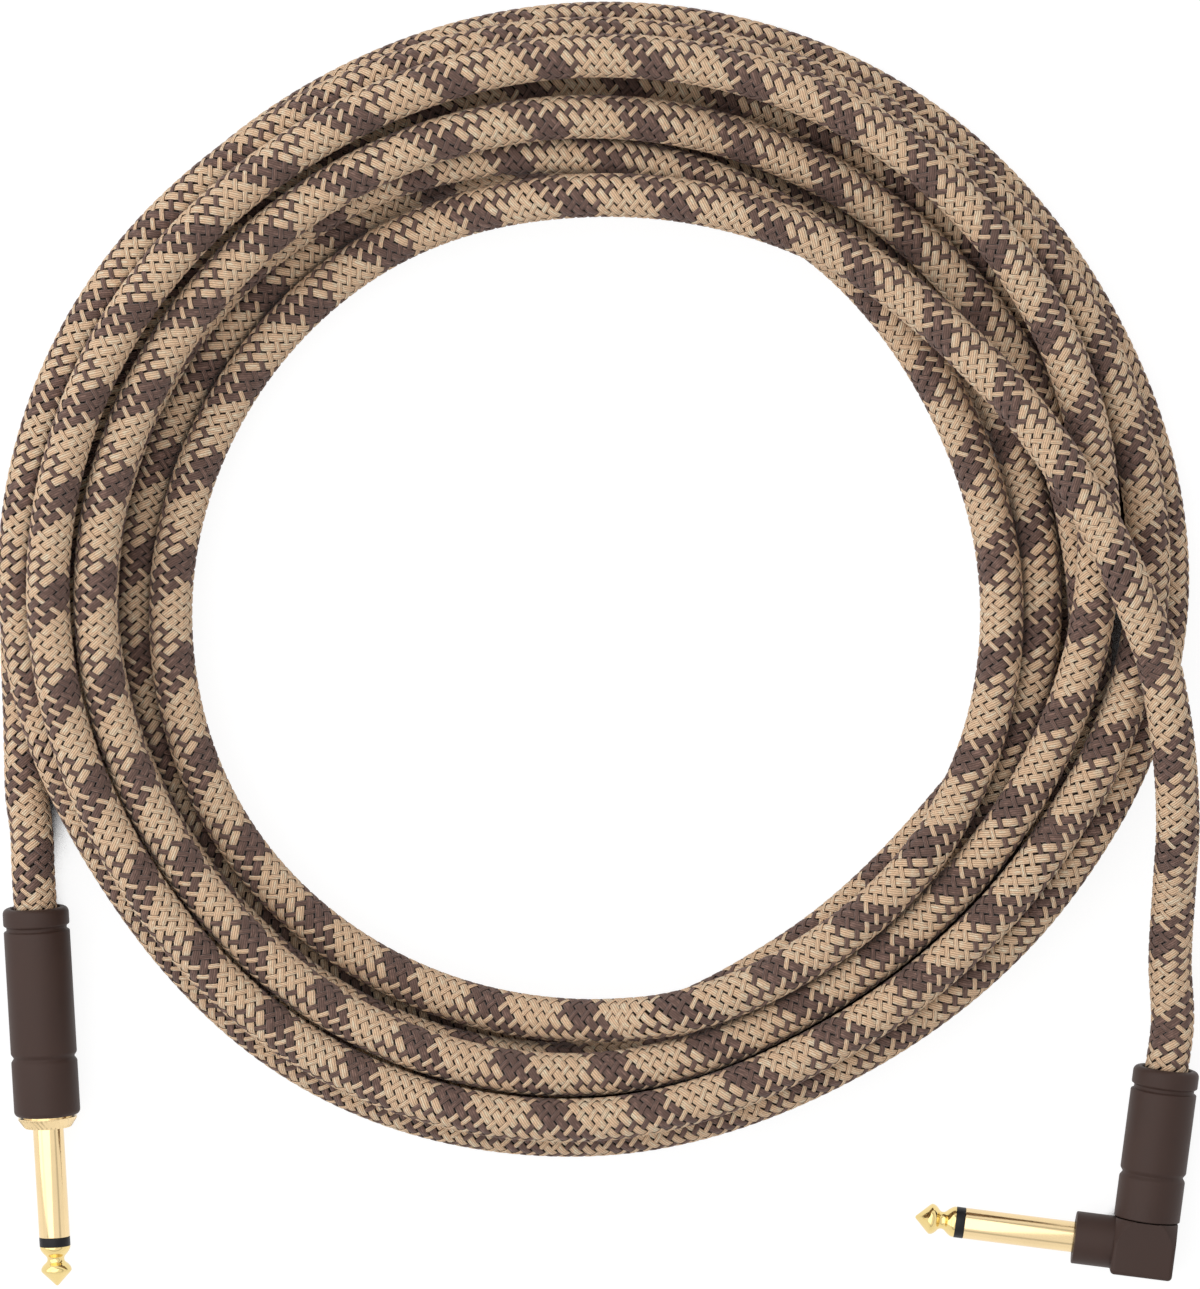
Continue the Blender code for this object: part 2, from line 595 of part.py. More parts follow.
# --- Assembly -----------------------------------------------------------------------------------------------
def plug_frame(name, mouth, lean, length, parent):
    """A plug lying flat: its barrel's axis leans by lean from +Y, and its frame starts at the barrel's seat."""
    axis = Vector((-math.sin(lean), math.cos(lean), 0.0))
    left = Vector((-math.cos(lean), -math.sin(lean), 0.0))
    up = Vector((0.0, 0.0, 1.0))
    turn = Matrix((left, up, axis)).transposed().to_4x4()
    place = Vector((*mouth, BARREL_DIAMETER / 2)) - axis * length
    return empty(name, Matrix.Translation(place) @ turn, parent)


def straight_plug(parent):
    plate_start = THREAD_LENGTH + GAP
    washer_start = plate_start + LUG_THICKNESS + GAP
    lug_start = washer_start + WASHER_LENGTH + GAP
    rod_end = lug_start + LUG_THICKNESS + GAP + RIVET_LENGTH
    down = Matrix.Translation((0, 0, -FLANGE_LENGTH))
    insulator_end = washer_start - GAP + FLANGE_LENGTH
    finger("straight", parent, down, FLANGE_LENGTH - GAP, insulator_end, rod_end + FLANGE_LENGTH)
    knurled_collar(parent)
    barrel("straight", parent, STRAIGHT_BARREL_LENGTH, STRAIGHT_FRONT_BAND, STRAIGHT_END_ROUNDING)
    cable_clamp("straight", parent, SLEEVE_BORE, STRAIGHT_CLAMP_START)
    washer_outline = pipe_outline(
        ROD_DIAMETER / 2 + GAP, WASHER_DIAMETER / 2, washer_start, washer_start + WASHER_LENGTH
    )
    washer = turned("straight_insulating_washer", washer_outline, parent, FINE_SIDES)
    give(washer, *FIBRE_LOOK)
    half = TIP_LUG_WIDTH / 2
    reach = RIVET_DIAMETER / 2 + GAP
    low = (-half, reach, lug_start)
    high = (half, reach + LUG_THICKNESS, wire_reach(STRAIGHT_CLAMP_START))
    tip_lug("straight_tip_lug", parent, lug_start, None, low, high)
    return wire_ends("straight", parent, STRAIGHT_CLAMP_START, reach - GAP - WIRE_DIAMETER / 2)


def angle_plug(parent):
    lug_side = WIRE_DIAMETER / 2 + GAP
    lug_start = NOSE_REACH - lug_side - LUG_THICKNESS
    rod_end = lug_start + LUG_THICKNESS + GAP + RIVET_LENGTH
    sideways = Matrix.Translation((0, 0, -FINGER_DROP)) @ Matrix.Rotation(math.radians(-90), 4, "Y")
    sideways = sideways @ Matrix.Translation((0, 0, -NOSE_REACH))
    finger("angle", parent, sideways, NOSE_REACH - ELBOW_CAVITY / 2 - GAP, lug_start - GAP, rod_end)
    elbow(parent)
    barrel("angle", parent, ANGLE_BARREL_LENGTH, ANGLE_FRONT_BAND, ANGLE_END_ROUNDING)
    cable_clamp("angle", parent, ELBOW_CAVITY - MM, ANGLE_CLAMP_START)
    half = TIP_LUG_WIDTH / 2
    tongue_start = (TIP_LUG_DIAMETER + ROD_DIAMETER) / 4 + GAP / 2 - FINGER_DROP
    low = (lug_side, -half, tongue_start)
    high = (lug_side + LUG_THICKNESS, half, wire_reach(ANGLE_CLAMP_START))
    tip_lug("angle_tip_lug", parent, lug_start, sideways, low, high)
    return wire_ends("angle", parent, ANGLE_CLAMP_START, 0.0)


def box_of(objects):
    """Lowest and highest corners of the objects as they show."""
    graph = bpy.context.evaluated_depsgraph_get()
    corners = []
    for obj in objects:
        shown = obj.evaluated_get(graph)
        mesh = shown.to_mesh()
        corners += [obj.matrix_world @ vert.co for vert in mesh.vertices]
        shown.to_mesh_clear()
    return [[pick(corner[i] for corner in corners) for i in range(3)] for pick in (min, max)]


def main():
    for old in list(bpy.data.objects):
        bpy.data.objects.remove(old)
    root = empty("cable", Matrix())
    straight = plug_frame("straight_frame", STRAIGHT_MOUTH, STRAIGHT_LEAN, STRAIGHT_BARREL_LENGTH, root)
    angle = plug_frame("angle_frame", ANGLE_MOUTH, ANGLE_LEAN, ANGLE_BARREL_LENGTH, root)
    straight_cord = straight_plug(straight)
    angle_cord = angle_plug(angle)
    bpy.context.view_layer.update()
    plugs = [obj for obj in bpy.data.objects if obj.type == "MESH" and not obj.hide_render]
    low, high = box_of(plugs)

    coil = [Vector(p) for p in coil_points()]
    print(f"least gap of the coil to itself: {least_gap(np.array([list(p) for p in coil])) * 1000:.2f} mm")
    straight_end = STRAIGHT_BARREL_LENGTH
    lead("cord_straight_lead", root, straight, straight_cord, straight_end, STRAIGHT_LEAD, coil[-1], coil[-2])
    lead("cord_angle_lead", root, angle, angle_cord, ANGLE_BARREL_LENGTH, ANGLE_LEAD, coil[0], coil[1])
    loops = as_mesh(tube("cord_coil", coil_run(coil), 1, root))
    reach, depth = SURFACE_CUTTER
    below = new_object("surface_cutter", box_mesh((-reach, -reach, -depth), (reach, reach, 0.0)), root)
    combine(loops, below, "DIFFERENCE")
    for name in ("cord_straight_lead", "cord_coil", "cord_angle_lead"):
        give(bpy.data.objects[name], *BRAID_LOOK)
    root.location = (-(low[0] + high[0]) / 2, -(low[1] + high[1]) / 2, -low[2])


main()
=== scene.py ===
"""Instrument cable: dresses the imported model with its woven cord, plated plugs and screw-on barrels."""

import math

import bpy
import numpy as np
from mathutils import Matrix, Vector


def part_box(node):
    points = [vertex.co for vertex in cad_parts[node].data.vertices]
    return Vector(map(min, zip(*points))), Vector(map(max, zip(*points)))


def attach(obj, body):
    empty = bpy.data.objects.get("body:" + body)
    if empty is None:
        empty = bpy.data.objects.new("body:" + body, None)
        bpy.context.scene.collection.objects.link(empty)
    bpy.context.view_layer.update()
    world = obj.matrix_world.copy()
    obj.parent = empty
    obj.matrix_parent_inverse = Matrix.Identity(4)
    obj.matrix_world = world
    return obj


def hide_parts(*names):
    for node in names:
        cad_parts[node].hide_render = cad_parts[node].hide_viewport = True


bl_info = {
    "name": "Instrument cable",
    "version": (1, 0, 0),
    "blender": (4, 5, 0),
    "location": "3D View > Sidebar > Cable",
    "description": "Builds the woven cord, the plugs and the table of a coiled instrument cable",
    "category": "Add Mesh",
}

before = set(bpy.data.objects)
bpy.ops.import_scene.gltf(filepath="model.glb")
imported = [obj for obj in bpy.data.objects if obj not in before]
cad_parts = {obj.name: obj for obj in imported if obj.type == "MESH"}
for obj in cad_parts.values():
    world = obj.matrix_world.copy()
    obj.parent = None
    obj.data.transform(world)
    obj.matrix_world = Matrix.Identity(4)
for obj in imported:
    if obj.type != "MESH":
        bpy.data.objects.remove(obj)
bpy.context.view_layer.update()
MM = 0.001

# --- Sizes shared with the solids -----------------------------------------------------------------------
GAP = 0.3 * MM
CORD_DIAMETER = 8.6 * MM
CORD_CLEARANCE = 0.8 * MM
FLAT_SHARE = 0.1
FINGER_DIAMETER = 6.35 * MM
SLEEVE_LENGTH = 22.7 * MM
SLEEVE_BORE = 4.8 * MM
RING_LENGTH = 1.6 * MM
TIP_LENGTH = 8.2 * MM
ROD_DIAMETER = 2.3 * MM
BARREL_DIAMETER = 13.6 * MM
BARREL_BORE = 11.4 * MM
MOUTH_BORE = 10.0 * MM
LIP_LENGTH = 5.0 * MM
STRAIGHT_BARREL_LENGTH = 43.2 * MM
STRAIGHT_FRONT_BAND = 11.4 * MM
STRAIGHT_END_ROUNDING = 1.1 * MM
ANGLE_BARREL_LENGTH = 31.6 * MM
ANGLE_FRONT_BAND = 8.6 * MM
ANGLE_END_ROUNDING = 0.25 * MM
BAND_GROOVE_WIDTH = 1.7 * MM
GROOVE_DEPTH = 0.6 * MM
MOUTH_RING = 3.6 * MM
MOUTH_GROOVE_WIDTH = 1.3 * MM
MOUTH_ROUNDING = 1.2 * MM
LIP_ROUNDING = 0.5 * MM
FLANGE_DIAMETER = 12.4 * MM
FLANGE_LENGTH = 2.3 * MM
FLANGE_NOSE_DIAMETER = 9.5 * MM
FLANGE_EDGE = 0.15 * MM
KNURL_START = 10.2 * MM
KNURL_HEIGHTS = (-1.9 * MM, -0.5 * MM)
KNURL_TEETH = 36
KNURL_COLUMNS = 4  # to each tooth
KNURL_DEPTH = 0.42 * MM
KNURL_FLANK_DEPTH = 0.20 * MM
THREAD_LENGTH = 5.0 * MM
THREAD_PITCH = 1.0 * MM
THREAD_DEPTH = 0.35 * MM
THREAD_RELIEF = 0.7 * MM
FIRST_CREST = 0.95 * MM
THREAD_LEAD_IN = 0.5 * MM
ELBOW_WIDTH = 12.8 * MM
ELBOW_HEIGHT = 11.4 * MM
ELBOW_ROUNDING = 0.9 * MM
DOME_DEPTH = 7.5 * MM
DOME_FULLNESS = 0.7
DOME_STEPS = 14
OVERLAP = 2.0 * MM
FINGER_DROP = 5.5 * MM
NOSE_DIAMETER = 10.8 * MM
NOSE_REACH = 14.35 * MM
NOSE_ROUNDING = 0.25 * MM
ELBOW_CAVITY = 8.0 * MM
CAVITY_DEPTH = 9.0 * MM

# --- Where the pieces lie, measured from the coil's centre ------------------------------------------------
COIL_CENTRE = Vector((-2.8946 * MM, 101.3332 * MM, 0.0))
STRAIGHT_MOUTH = (-113.0 * MM, -62.4 * MM)
STRAIGHT_LEAN = math.radians(3.1)
ANGLE_MOUTH = (118.9 * MM, -95.6 * MM)
ANGLE_LEAN = math.radians(-7.3)

# Radius of each turn of the coil in mm, every 30 degrees anticlockwise from +X, top turn first.
TURNS = (
    (112.5, 95.5, 88.5, 84.5, 84.0, 84.0, 85.0, 86.0, 85.5, 84.5, 84.0, 85.0),
    (84.5, 84.5, 88.5, 92.5, 97.0, 99.5, 100.0, 97.5, 96.0, 94.0, 92.5, 91.5),
    (92.5, 93.0, 92.0, 92.0, 92.0, 92.5, 92.5, 92.0, 91.5, 89.5, 83.5, 85.0),
    (98.5, 106.5, 107.0, 107.0, 106.0, 106.0, 105.5, 104.5, 105.0, 106.5, 108.0, 106.5),
    (102.5, 101.0, 100.5, 100.5, 100.5, 100.5, 100.0, 97.5, 96.5, 95.0, 92.5, 95.5),
    (103.0, 110.5, 114.0, 113.0, 111.0, 111.0, 109.5, 106.5, 106.0, 104.0, 101.5, 105.0),
    (114.0, 117.0, 116.5, 116.0, 115.5, 117.0, 115.5, 110.5, 110.5, 108.5, 107.0, 111.5),
    (118.5, 119.0, 120.0, 118.5, 116.0, 115.0, 115.5),
)
# Degrees at which a stretch of the coil starts, and its rank: a higher rank lies on a lower one.
RANKS = ((-20, 7), (350, 2), (710, 1), (1060, 0), (1430, 4), (1790, 5), (2170, 3), (2510, 0))
# Degrees and radius in mm of the points by which the cord comes into the coil and leaves it.
COIL_HEAD = ((-20.0, 128.1), (-11.0, 120.8), (-6.0, 117.3))
COIL_TAIL = ((190.0, 117.0), (195.0, 119.0), (199.0, 121.3))
HEAD_HEIGHT = 20.5 * MM
TAIL_HEIGHT = 4.4 * MM
ROW_STEP = 30  # degrees
FINE_STEP = 5  # degrees
LIFT_REACH = 1  # fine steps
SETTLE_STEPS = 400
SETTLE_EASING = 0.5
LAST_STEPS = 80
LAST_EASING = 0.05
COIL_SINK = 0.4 * MM
STRAIGHT_LEAD = ((-113.7, -47.5, 6.0),)
ANGLE_LEAD = ((119.4, -74.0, 9.0), (120.0, -57.0, 14.5))
STRAIGHT_CORD_START = 25.8 * MM  # from the barrel's seat to the braid's end inside it
ANGLE_CORD_START = 18.8 * MM

# --- Weave ------------------------------------------------------------------------------------------------
STRANDS = 8  # in each direction
DARK_STRANDS = 3  # of them, side by side
STRAND_THICKNESS = 0.52 * MM
WAVE = 0.18 * MM  # by which a strand rises and sinks at its crossings
WIDE_SECTION = ((-0.5, 0.12), (-0.28, 0.46), (0.28, 0.46), (0.5, 0.12), (0.0, -0.45))
NARROW_SECTION = ((-0.5, 0.08), (-0.24, 0.46), (0.24, 0.46), (0.5, 0.08), (0.0, -0.45))
WIDE_CHANGE = (0.10, 0.60)  # share of a crossing over which the strand changes height
NARROW_CHANGE = (0.42, 0.92)
YARN_SHIFT = 7.3  # between the yarn pattern of one strand and the next
STEPS_PER_CROSSING = 3
CORE_SIDES = 12
CORE_STEP = 6  # rings of the braid to each ring of the core
TABLE_CLEARANCE = 0.03 * MM

# --- Light --------------------------------------------------------------------------------------------------
PICTURE_CENTRE = Vector((-0.23 * MM, 92.30 * MM, 0.0))
TABLE_SIZE = 14.0
TABLE_DROP = 0.02 * MM
GAP_SHADE_REACH = 25.0 * MM
WHITE = (1.0, 1.0, 1.0, 1.0)
OPEN_PAPER = (0.22, 0.22, 0.22, 1.0)
PAINTED_GAP_SHADE = (0.035, 0.020, 0.014, 1.0)  # painted shade on the paper seen through the gaps of the coil
PAPER_GLOW = 0.88
AMBIENT = 0.52
DARK_FLAG = ((0.50, 1.0), (0.56, 0.60), (0.68, 0.60), (0.74, 1.0))  # height in the studio and its brightness
SOFTBOX_PLACE = Vector((-0.7, 0.3, 1.05))  # from the picture's centre
SOFTBOX_SIZE = 2.3
SOFTBOX_POWER = 16.0


# --- Settings ---------------------------------------------------------------------------------------------
def length_prop(name, default, description):
    return bpy.props.FloatProperty(
        name=name, description=description, default=default, min=0.0, precision=5,
        subtype="DISTANCE", unit="LENGTH"
    )


def colour_prop(name, default, description):
    return bpy.props.FloatVectorProperty(
        name=name, description=description, default=default, min=0.0, max=1.0, size=3, subtype="COLOR"
    )


class CordSettings(bpy.types.PropertyGroup):
    woven_diameter: length_prop("Woven diameter", 9.0 * MM, "Diameter over the crowns of the braid")
    lay: length_prop("Lay", 20.5 * MM, "Length of cord in which a strand goes once round")
    wide_strand: length_prop("Wide strand", 1.84 * MM, "Width of the strands of the right-handed family")
    narrow_strand: length_prop("Narrow strand", 1.08 * MM, "Width of the strands of the left-handed family")
    tan: colour_prop("Tan yarn", (0.93, 0.645, 0.425), "Main colour of the light yarn")
    brown: colour_prop("Brown yarn", (0.185, 0.112, 0.090), "Main colour of the dark yarn")


class PlugSettings(bpy.types.PropertyGroup):
    shell: colour_prop("Shell", (0.054, 0.031, 0.025), "Colour of the barrels and the elbow")
    plating: colour_prop("Plating", (0.90, 0.69, 0.39), "Colour of the plated collar, sleeves and tips")
    soft_edge: length_prop("Soft edge", 0.12 * MM, "Width of the rounding on turned edges")


class StageSettings(bpy.types.PropertyGroup):
    surface: colour_prop("Table", (0.80, 0.80, 0.80), "Colour of the table that the cable lies on")
    distance: length_prop("Camera distance", 3.0, "Distance of the long lens from the cable")
    picture_height: length_prop("Picture height", 264.2 * MM, "Height that the picture covers at the table")
    elevation: bpy.props.FloatProperty(
        name="Elevation", description="Angle of the view above the table", default=math.radians(84.5),
        subtype="ANGLE", unit="ROTATION"
    )


SETTINGS = {"cable_cord": CordSettings, "cable_plug": PlugSettings, "cable_stage": StageSettings}


# --- Modelling --------------------------------------------------------------------------------------------
ROUND_SIDES = 96
SAME_PLACE = 0.001 * MM
ON_THE_KNURL = 0.01 * MM
SHARP_EDGE = math.radians(28)  # turned edges above this angle are softened


def only(obj):
    """Leaves just this object selected and active."""
    bpy.ops.object.select_all(action="DESELECT")
    obj.select_set(True)
    bpy.context.view_layer.objects.active = obj


def pick(obj, wanted):
    """Selects the vertices whose place answers wanted, ready for an operator in edit mode."""
    bpy.ops.object.mode_set(mode="EDIT")
    bpy.ops.mesh.select_mode(type="VERT")
    bpy.ops.mesh.select_all(action="DESELECT")
    bpy.ops.object.mode_set(mode="OBJECT")
    found = 0
    for vert in obj.data.vertices:
        vert.select = wanted(vert.co)
        found += vert.select
    bpy.ops.object.mode_set(mode="EDIT")
    if not found:
        raise RuntimeError(f"nothing to pick on {obj.name}")


def turned(name, outline, sides=ROUND_SIDES, soft=0.0, smooth_degrees=35):
    """A closed (radius, height) outline, drawn as extruded edges and spun round Z."""
    first, last = outline[0], outline[-1]
    bpy.ops.object.select_all(action="DESELECT")
    bpy.ops.mesh.primitive_plane_add(size=MM, location=(first[0], 0.0, first[1]))
    obj = bpy.context.object
    obj.name = obj.data.name = name
    bpy.ops.object.transform_apply(location=True, rotation=True, scale=True)
    bpy.ops.object.mode_set(mode="EDIT")
    bpy.ops.mesh.select_all(action="SELECT")
    bpy.ops.mesh.merge(type="CENTER")
    for here, there in zip(outline, outline[1:]):
        step = (there[0] - here[0], 0.0, there[1] - here[1])
        bpy.ops.mesh.extrude_vertices_move(TRANSFORM_OT_translate={"value": step})
    bpy.ops.object.mode_set(mode="OBJECT")
    if min(first[0], last[0]) > 0:
        ends = (Vector((first[0], 0.0, first[1])), Vector((last[0], 0.0, last[1])))
        pick(obj, lambda co: min((co - end).length for end in ends) < SAME_PLACE)
        bpy.ops.mesh.edge_face_add()
        bpy.ops.object.mode_set(mode="OBJECT")
    bpy.ops.object.mode_set(mode="EDIT")
    bpy.ops.mesh.select_all(action="SELECT")
    bpy.ops.mesh.spin(steps=sides, angle=2 * math.pi, center=(0, 0, 0), axis=(0, 0, 1))
    bpy.ops.mesh.select_all(action="SELECT")
    bpy.ops.mesh.remove_doubles(threshold=SAME_PLACE)
    bpy.ops.mesh.normals_make_consistent(inside=False)
    bpy.ops.object.mode_set(mode="OBJECT")
    if soft:
        bevel = obj.modifiers.new("Soft edges", "BEVEL")
        bevel.width = soft
        bevel.segments = 3
        bevel.limit_method = "ANGLE"
        bevel.angle_limit = SHARP_EDGE
        bpy.ops.object.modifier_apply(modifier=bevel.name)
    bpy.ops.object.shade_smooth_by_angle(angle=math.radians(smooth_degrees))
    return obj


def settle_in_place(obj, matrix):
    """Puts a piece where the plug lies and leaves its object unturned at the origin."""
    only(obj)
    obj.matrix_world = matrix
    bpy.ops.object.transform_apply(location=True, rotation=True, scale=True)


def combine(obj, tool, operation):
    """Joins or cuts with a helper, which is then removed."""
    only(obj)
    step = obj.modifiers.new(operation.title(), "BOOLEAN")
    step.operation = operation
    step.solver = "EXACT"
    step.object = tool
    bpy.ops.object.modifier_apply(modifier=step.name)
    bpy.data.objects.remove(tool)


def arc(centre_radius, centre_height, radius, start, end, steps=6):
    angles = [math.radians(start + (end - start) * i / steps) for i in range(steps + 1)]
    return [(centre_radius + radius * math.cos(a), centre_height + radius * math.sin(a)) for a in angles]


def finish_piece(obj, body, node, finish):
    """The piece takes its finish and stands for its solid."""
    obj.data.materials.clear()
    obj.data.materials.append(finish)
    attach(obj, body)
    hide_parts(node)


# --- Route of the cord --------------------------------------------------------------------------------------
def smooth(keys, values, at):
    """A cubic through the values, with each slope taken from its neighbours."""
    keys, values, at = np.asarray(keys, float), np.asarray(values, float), np.asarray(at, float)
    slopes = np.gradient(values, keys, axis=0)
    left = np.clip(np.searchsorted(keys, at, side="right") - 1, 0, len(keys) - 2)
    span = keys[left + 1] - keys[left]
    t = (at - keys[left]) / span
    if values.ndim > 1:
        t, span = t[:, None], span[:, None]
    return (
        values[left] * (1 + 2 * t) * (1 - t) ** 2
        + slopes[left] * span * t * (1 - t) ** 2
        + values[left + 1] * t * t * (3 - 2 * t)
        + slopes[left + 1] * span * t * t * (t - 1)
    )


def coil_radius(degrees):
    keys = [angle for angle, _ in COIL_HEAD]
    radii = [radius for _, radius in COIL_HEAD]
    for number, turn in enumerate(TURNS):
        keys += [360 * number + ROW_STEP * i for i in range(len(turn))]
        radii += turn
    last = 360 * (len(TURNS) - 1)
    keys += [last + angle for angle, _ in COIL_TAIL]
    radii += [radius for _, radius in COIL_TAIL]
    return smooth(keys, radii, degrees) * MM


def coil_rank(degrees):
    starts = [start for start, _ in RANKS]
    ranks = np.asarray([rank for _, rank in RANKS])
    return ranks[np.searchsorted(starts, degrees, side="right") - 1]


def widened(values, reach):
    padded = np.pad(values, reach)
    return np.max([padded[i : i + len(values)] for i in range(2 * reach + 1)], axis=0)


def settle(degrees, radii, ranks, floor, spacing):
    """Heights of the turns: each sinks until it meets the table or a turn of a lower rank."""
    loop = round(360 / FINE_STEP)
    slope = np.gradient(radii, np.radians(degrees)) / radii
    across = 1 / np.sqrt(1 + slope**2)
    heights = np.full(len(radii), floor)
    pairs = []
    for turns in range(1, len(TURNS)):
        near = np.arange(len(radii) - loop * turns)
        far = near + loop * turns
        apart = np.abs(radii[near] - radii[far]) * np.minimum(across[near], across[far])
        lift = widened(np.sqrt(np.maximum(spacing**2 - apart**2, 0)), LIFT_REACH)
        touching = lift > 0
        near_on_top = ranks[near] > ranks[far]
        upper = np.where(near_on_top, near, far)[touching]
        lower = np.where(near_on_top, far, near)[touching]
        pairs.append((upper, lower, lift[touching]))
    for step in range(SETTLE_STEPS):
        level = heights.copy()
        level[2:-2] = (heights[:-4] + heights[1:-3] + heights[3:-1] + heights[4:]) / 4
        easing = SETTLE_EASING if step < SETTLE_STEPS - LAST_STEPS else LAST_EASING
        heights = np.maximum(heights + easing * (level - heights - COIL_SINK), floor)
        heights[0], heights[-1] = HEAD_HEIGHT, TAIL_HEIGHT
        for _ in range(3):
            for upper, lower, lift in pairs:
                np.maximum.at(heights, upper, heights[lower] + lift)
    return heights


def coil_keys():
    """Centre of the coiled cord at every fine step, from the coil's centre."""
    start, end = COIL_HEAD[0][0], 360 * (len(TURNS) - 1) + COIL_TAIL[-1][0]
    fine = np.arange(FINE_STEP * math.ceil(start / FINE_STEP), end, FINE_STEP)
    floor = CORD_DIAMETER * (0.5 - FLAT_SHARE)
    heights = settle(fine, coil_radius(fine), coil_rank(fine), floor, CORD_DIAMETER + CORD_CLEARANCE)
    angles = np.append(fine, end)
    radii = coil_radius(angles)
    turn = np.radians(angles)
    return np.stack([radii * np.cos(turn), radii * np.sin(turn), np.append(heights, heights[-1])], axis=1)


def plug_place(mouth, lean, length):
    """Where a plug lies: its barrel's axis leans from +Y, and its own Z starts at the barrel's seat."""
    axis = Vector((-math.sin(lean), math.cos(lean), 0.0))
    left = Vector((-math.cos(lean), -math.sin(lean), 0.0))
    turn = Matrix((left, Vector((0.0, 0.0, 1.0)), axis)).transposed().to_4x4()
    place = Vector((*mouth, BARREL_DIAMETER / 2)) - axis * length + COIL_CENTRE
    return Matrix.Translation(place) @ turn


STRAIGHT_PLACE = plug_place(STRAIGHT_MOUTH, STRAIGHT_LEAN, STRAIGHT_BARREL_LENGTH)
ANGLE_PLACE = plug_place(ANGLE_MOUTH, ANGLE_LEAN, ANGLE_BARREL_LENGTH)


def lead_keys(place, cord_start, mouth, waypoints):
    """A free stretch from inside its plug outwards, with its last point a waypoint before the coil."""
    along = (cord_start, (cord_start + mouth) / 2, mouth, mouth + CORD_DIAMETER)
    inside = [place @ Vector((0.0, 0.0, height)) for height in along]
    return [list(p) for p in inside] + [list(Vector(p) * MM + COIL_CENTRE) for p in waypoints]


def cord_route(spacing, rest):
    """Evenly spaced centre points of the whole cord, from the right-angle plug to the straight one."""
    floor = CORD_DIAMETER * (0.5 - FLAT_SHARE)
    coil = coil_keys() + np.array(COIL_CENTRE) + (0.0, 0.0, rest - floor)
    head = np.array(lead_keys(ANGLE_PLACE, ANGLE_CORD_START, ANGLE_BARREL_LENGTH, ANGLE_LEAD))
    tail = np.array(lead_keys(STRAIGHT_PLACE, STRAIGHT_CORD_START, STRAIGHT_BARREL_LENGTH, STRAIGHT_LEAD))
    keys = np.concatenate([head, coil, tail[::-1]])
    along = np.append(0.0, np.cumsum(np.linalg.norm(np.diff(keys, axis=0), axis=1)))
    dense = smooth(along, keys, np.arange(0.0, along[-1], spacing))
    run = np.append(0.0, np.cumsum(np.linalg.norm(np.diff(dense, axis=0), axis=1)))
    count = round(run[-1] / spacing)
    even = np.linspace(0.0, run[-1], count + 1)
    return np.stack([np.interp(even, run, dense[:, i]) for i in range(3)], axis=1), even


# --- Woven cord ---------------------------------------------------------------------------------------------
def mesh_piece(name, points, faces, uv=None):
    """A smooth mesh from an array of points and a list of faces, with its texture coordinates by point."""
    mesh = bpy.data.meshes.new(name)
    mesh.vertices.add(len(points))
    mesh.vertices.foreach_set("co", np.ascontiguousarray(points, np.float32).ravel())
    corners = np.concatenate([np.asarray(face) for face in faces])
    sizes = np.array([len(face) for face in faces])
    mesh.loops.add(len(corners))
    mesh.loops.foreach_set("vertex_index", corners.astype(np.int32))
    mesh.polygons.add(len(faces))
    mesh.polygons.foreach_set("loop_start", np.append(0, np.cumsum(sizes)[:-1]).astype(np.int32))
    if uv is not None:
        layer = mesh.uv_layers.new(name="weave")
        layer.data.foreach_set("uv", np.ascontiguousarray(uv[corners], np.float32).ravel())
    mesh.update(calc_edges=True)
    mesh.validate()
    mesh.shade_smooth()
    obj = bpy.data.objects.new(name, mesh)
    bpy.context.scene.collection.objects.link(obj)
    return obj


def ring_faces(rows, sides):
    """Faces of a closed tube of rows rings, with a cap at each end."""
    row = np.arange(rows - 1)[:, None] * sides
    side = np.arange(sides)[None, :]
    onward = (side + 1) % sides
    quads = np.stack([row + side, row + onward, row + sides + onward, row + sides + side], axis=2)
    faces = list(quads.reshape(-1, 4))
    return [np.arange(sides)[::-1]] + faces + [np.arange(sides) + (rows - 1) * sides]


def ease(low, high, value):
    """A soft rise from 0 at low to 1 at high."""
    share = np.clip((value - low) / (high - low), 0.0, 1.0)
    return share * share * (3 - 2 * share)


def strand_points(route, along, axes, settings, number, hand):
    """One strand of the braid, wound right-handed (hand 1, wide) or left-handed (hand -1, narrow)."""
    side, up, ahead = axes
    radius = settings.woven_diameter / 2 - STRAND_THICKNESS / 2 - WAVE
    lay = settings.lay
    pitch = math.atan2(2 * math.pi * radius, lay)
    width = settings.wide_strand if hand > 0 else settings.narrow_strand
    section = np.array(WIDE_SECTION if hand > 0 else NARROW_SECTION)
    across = section[:, 0] * width
    turn = 2 * math.pi * (number / STRANDS + hand * along / lay)
    crossing = 2 * STRANDS * along / lay
    skew = (1 - math.tan(pitch) ** 2) * math.cos(pitch) / radius * STRANDS / (2 * math.pi)
    phase = crossing[:, None] + hand * skew * across[None, :]
    to_under = np.abs((phase - 1) - 2 * np.round((phase - 1) / 2))
    if hand > 0:
        lift = 2 * ease(*WIDE_CHANGE, to_under) - 1
    else:
        lift = 1 - 2 * ease(*NARROW_CHANGE, to_under)
    out = radius + lift * WAVE + section[None, :, 1] * STRAND_THICKNESS
    angle = turn[:, None] + across[None, :] * math.cos(pitch) / radius
    back = -hand * across[None, :] * math.sin(pitch)
    points = (
        route[:, None, :]
        + (out * np.cos(angle))[..., None] * side[:, None, :]
        + (out * np.sin(angle))[..., None] * up[:, None, :]
        + back[..., None] * ahead[:, None, :]
    )
    u = np.broadcast_to(section[:, 0] + 0.5, points.shape[:2])
    v = np.broadcast_to((along / math.cos(pitch) / MM)[:, None] + number * YARN_SHIFT, points.shape[:2])
    return points.reshape(-1, 3), np.stack([u, v], axis=2).reshape(-1, 2), len(section)


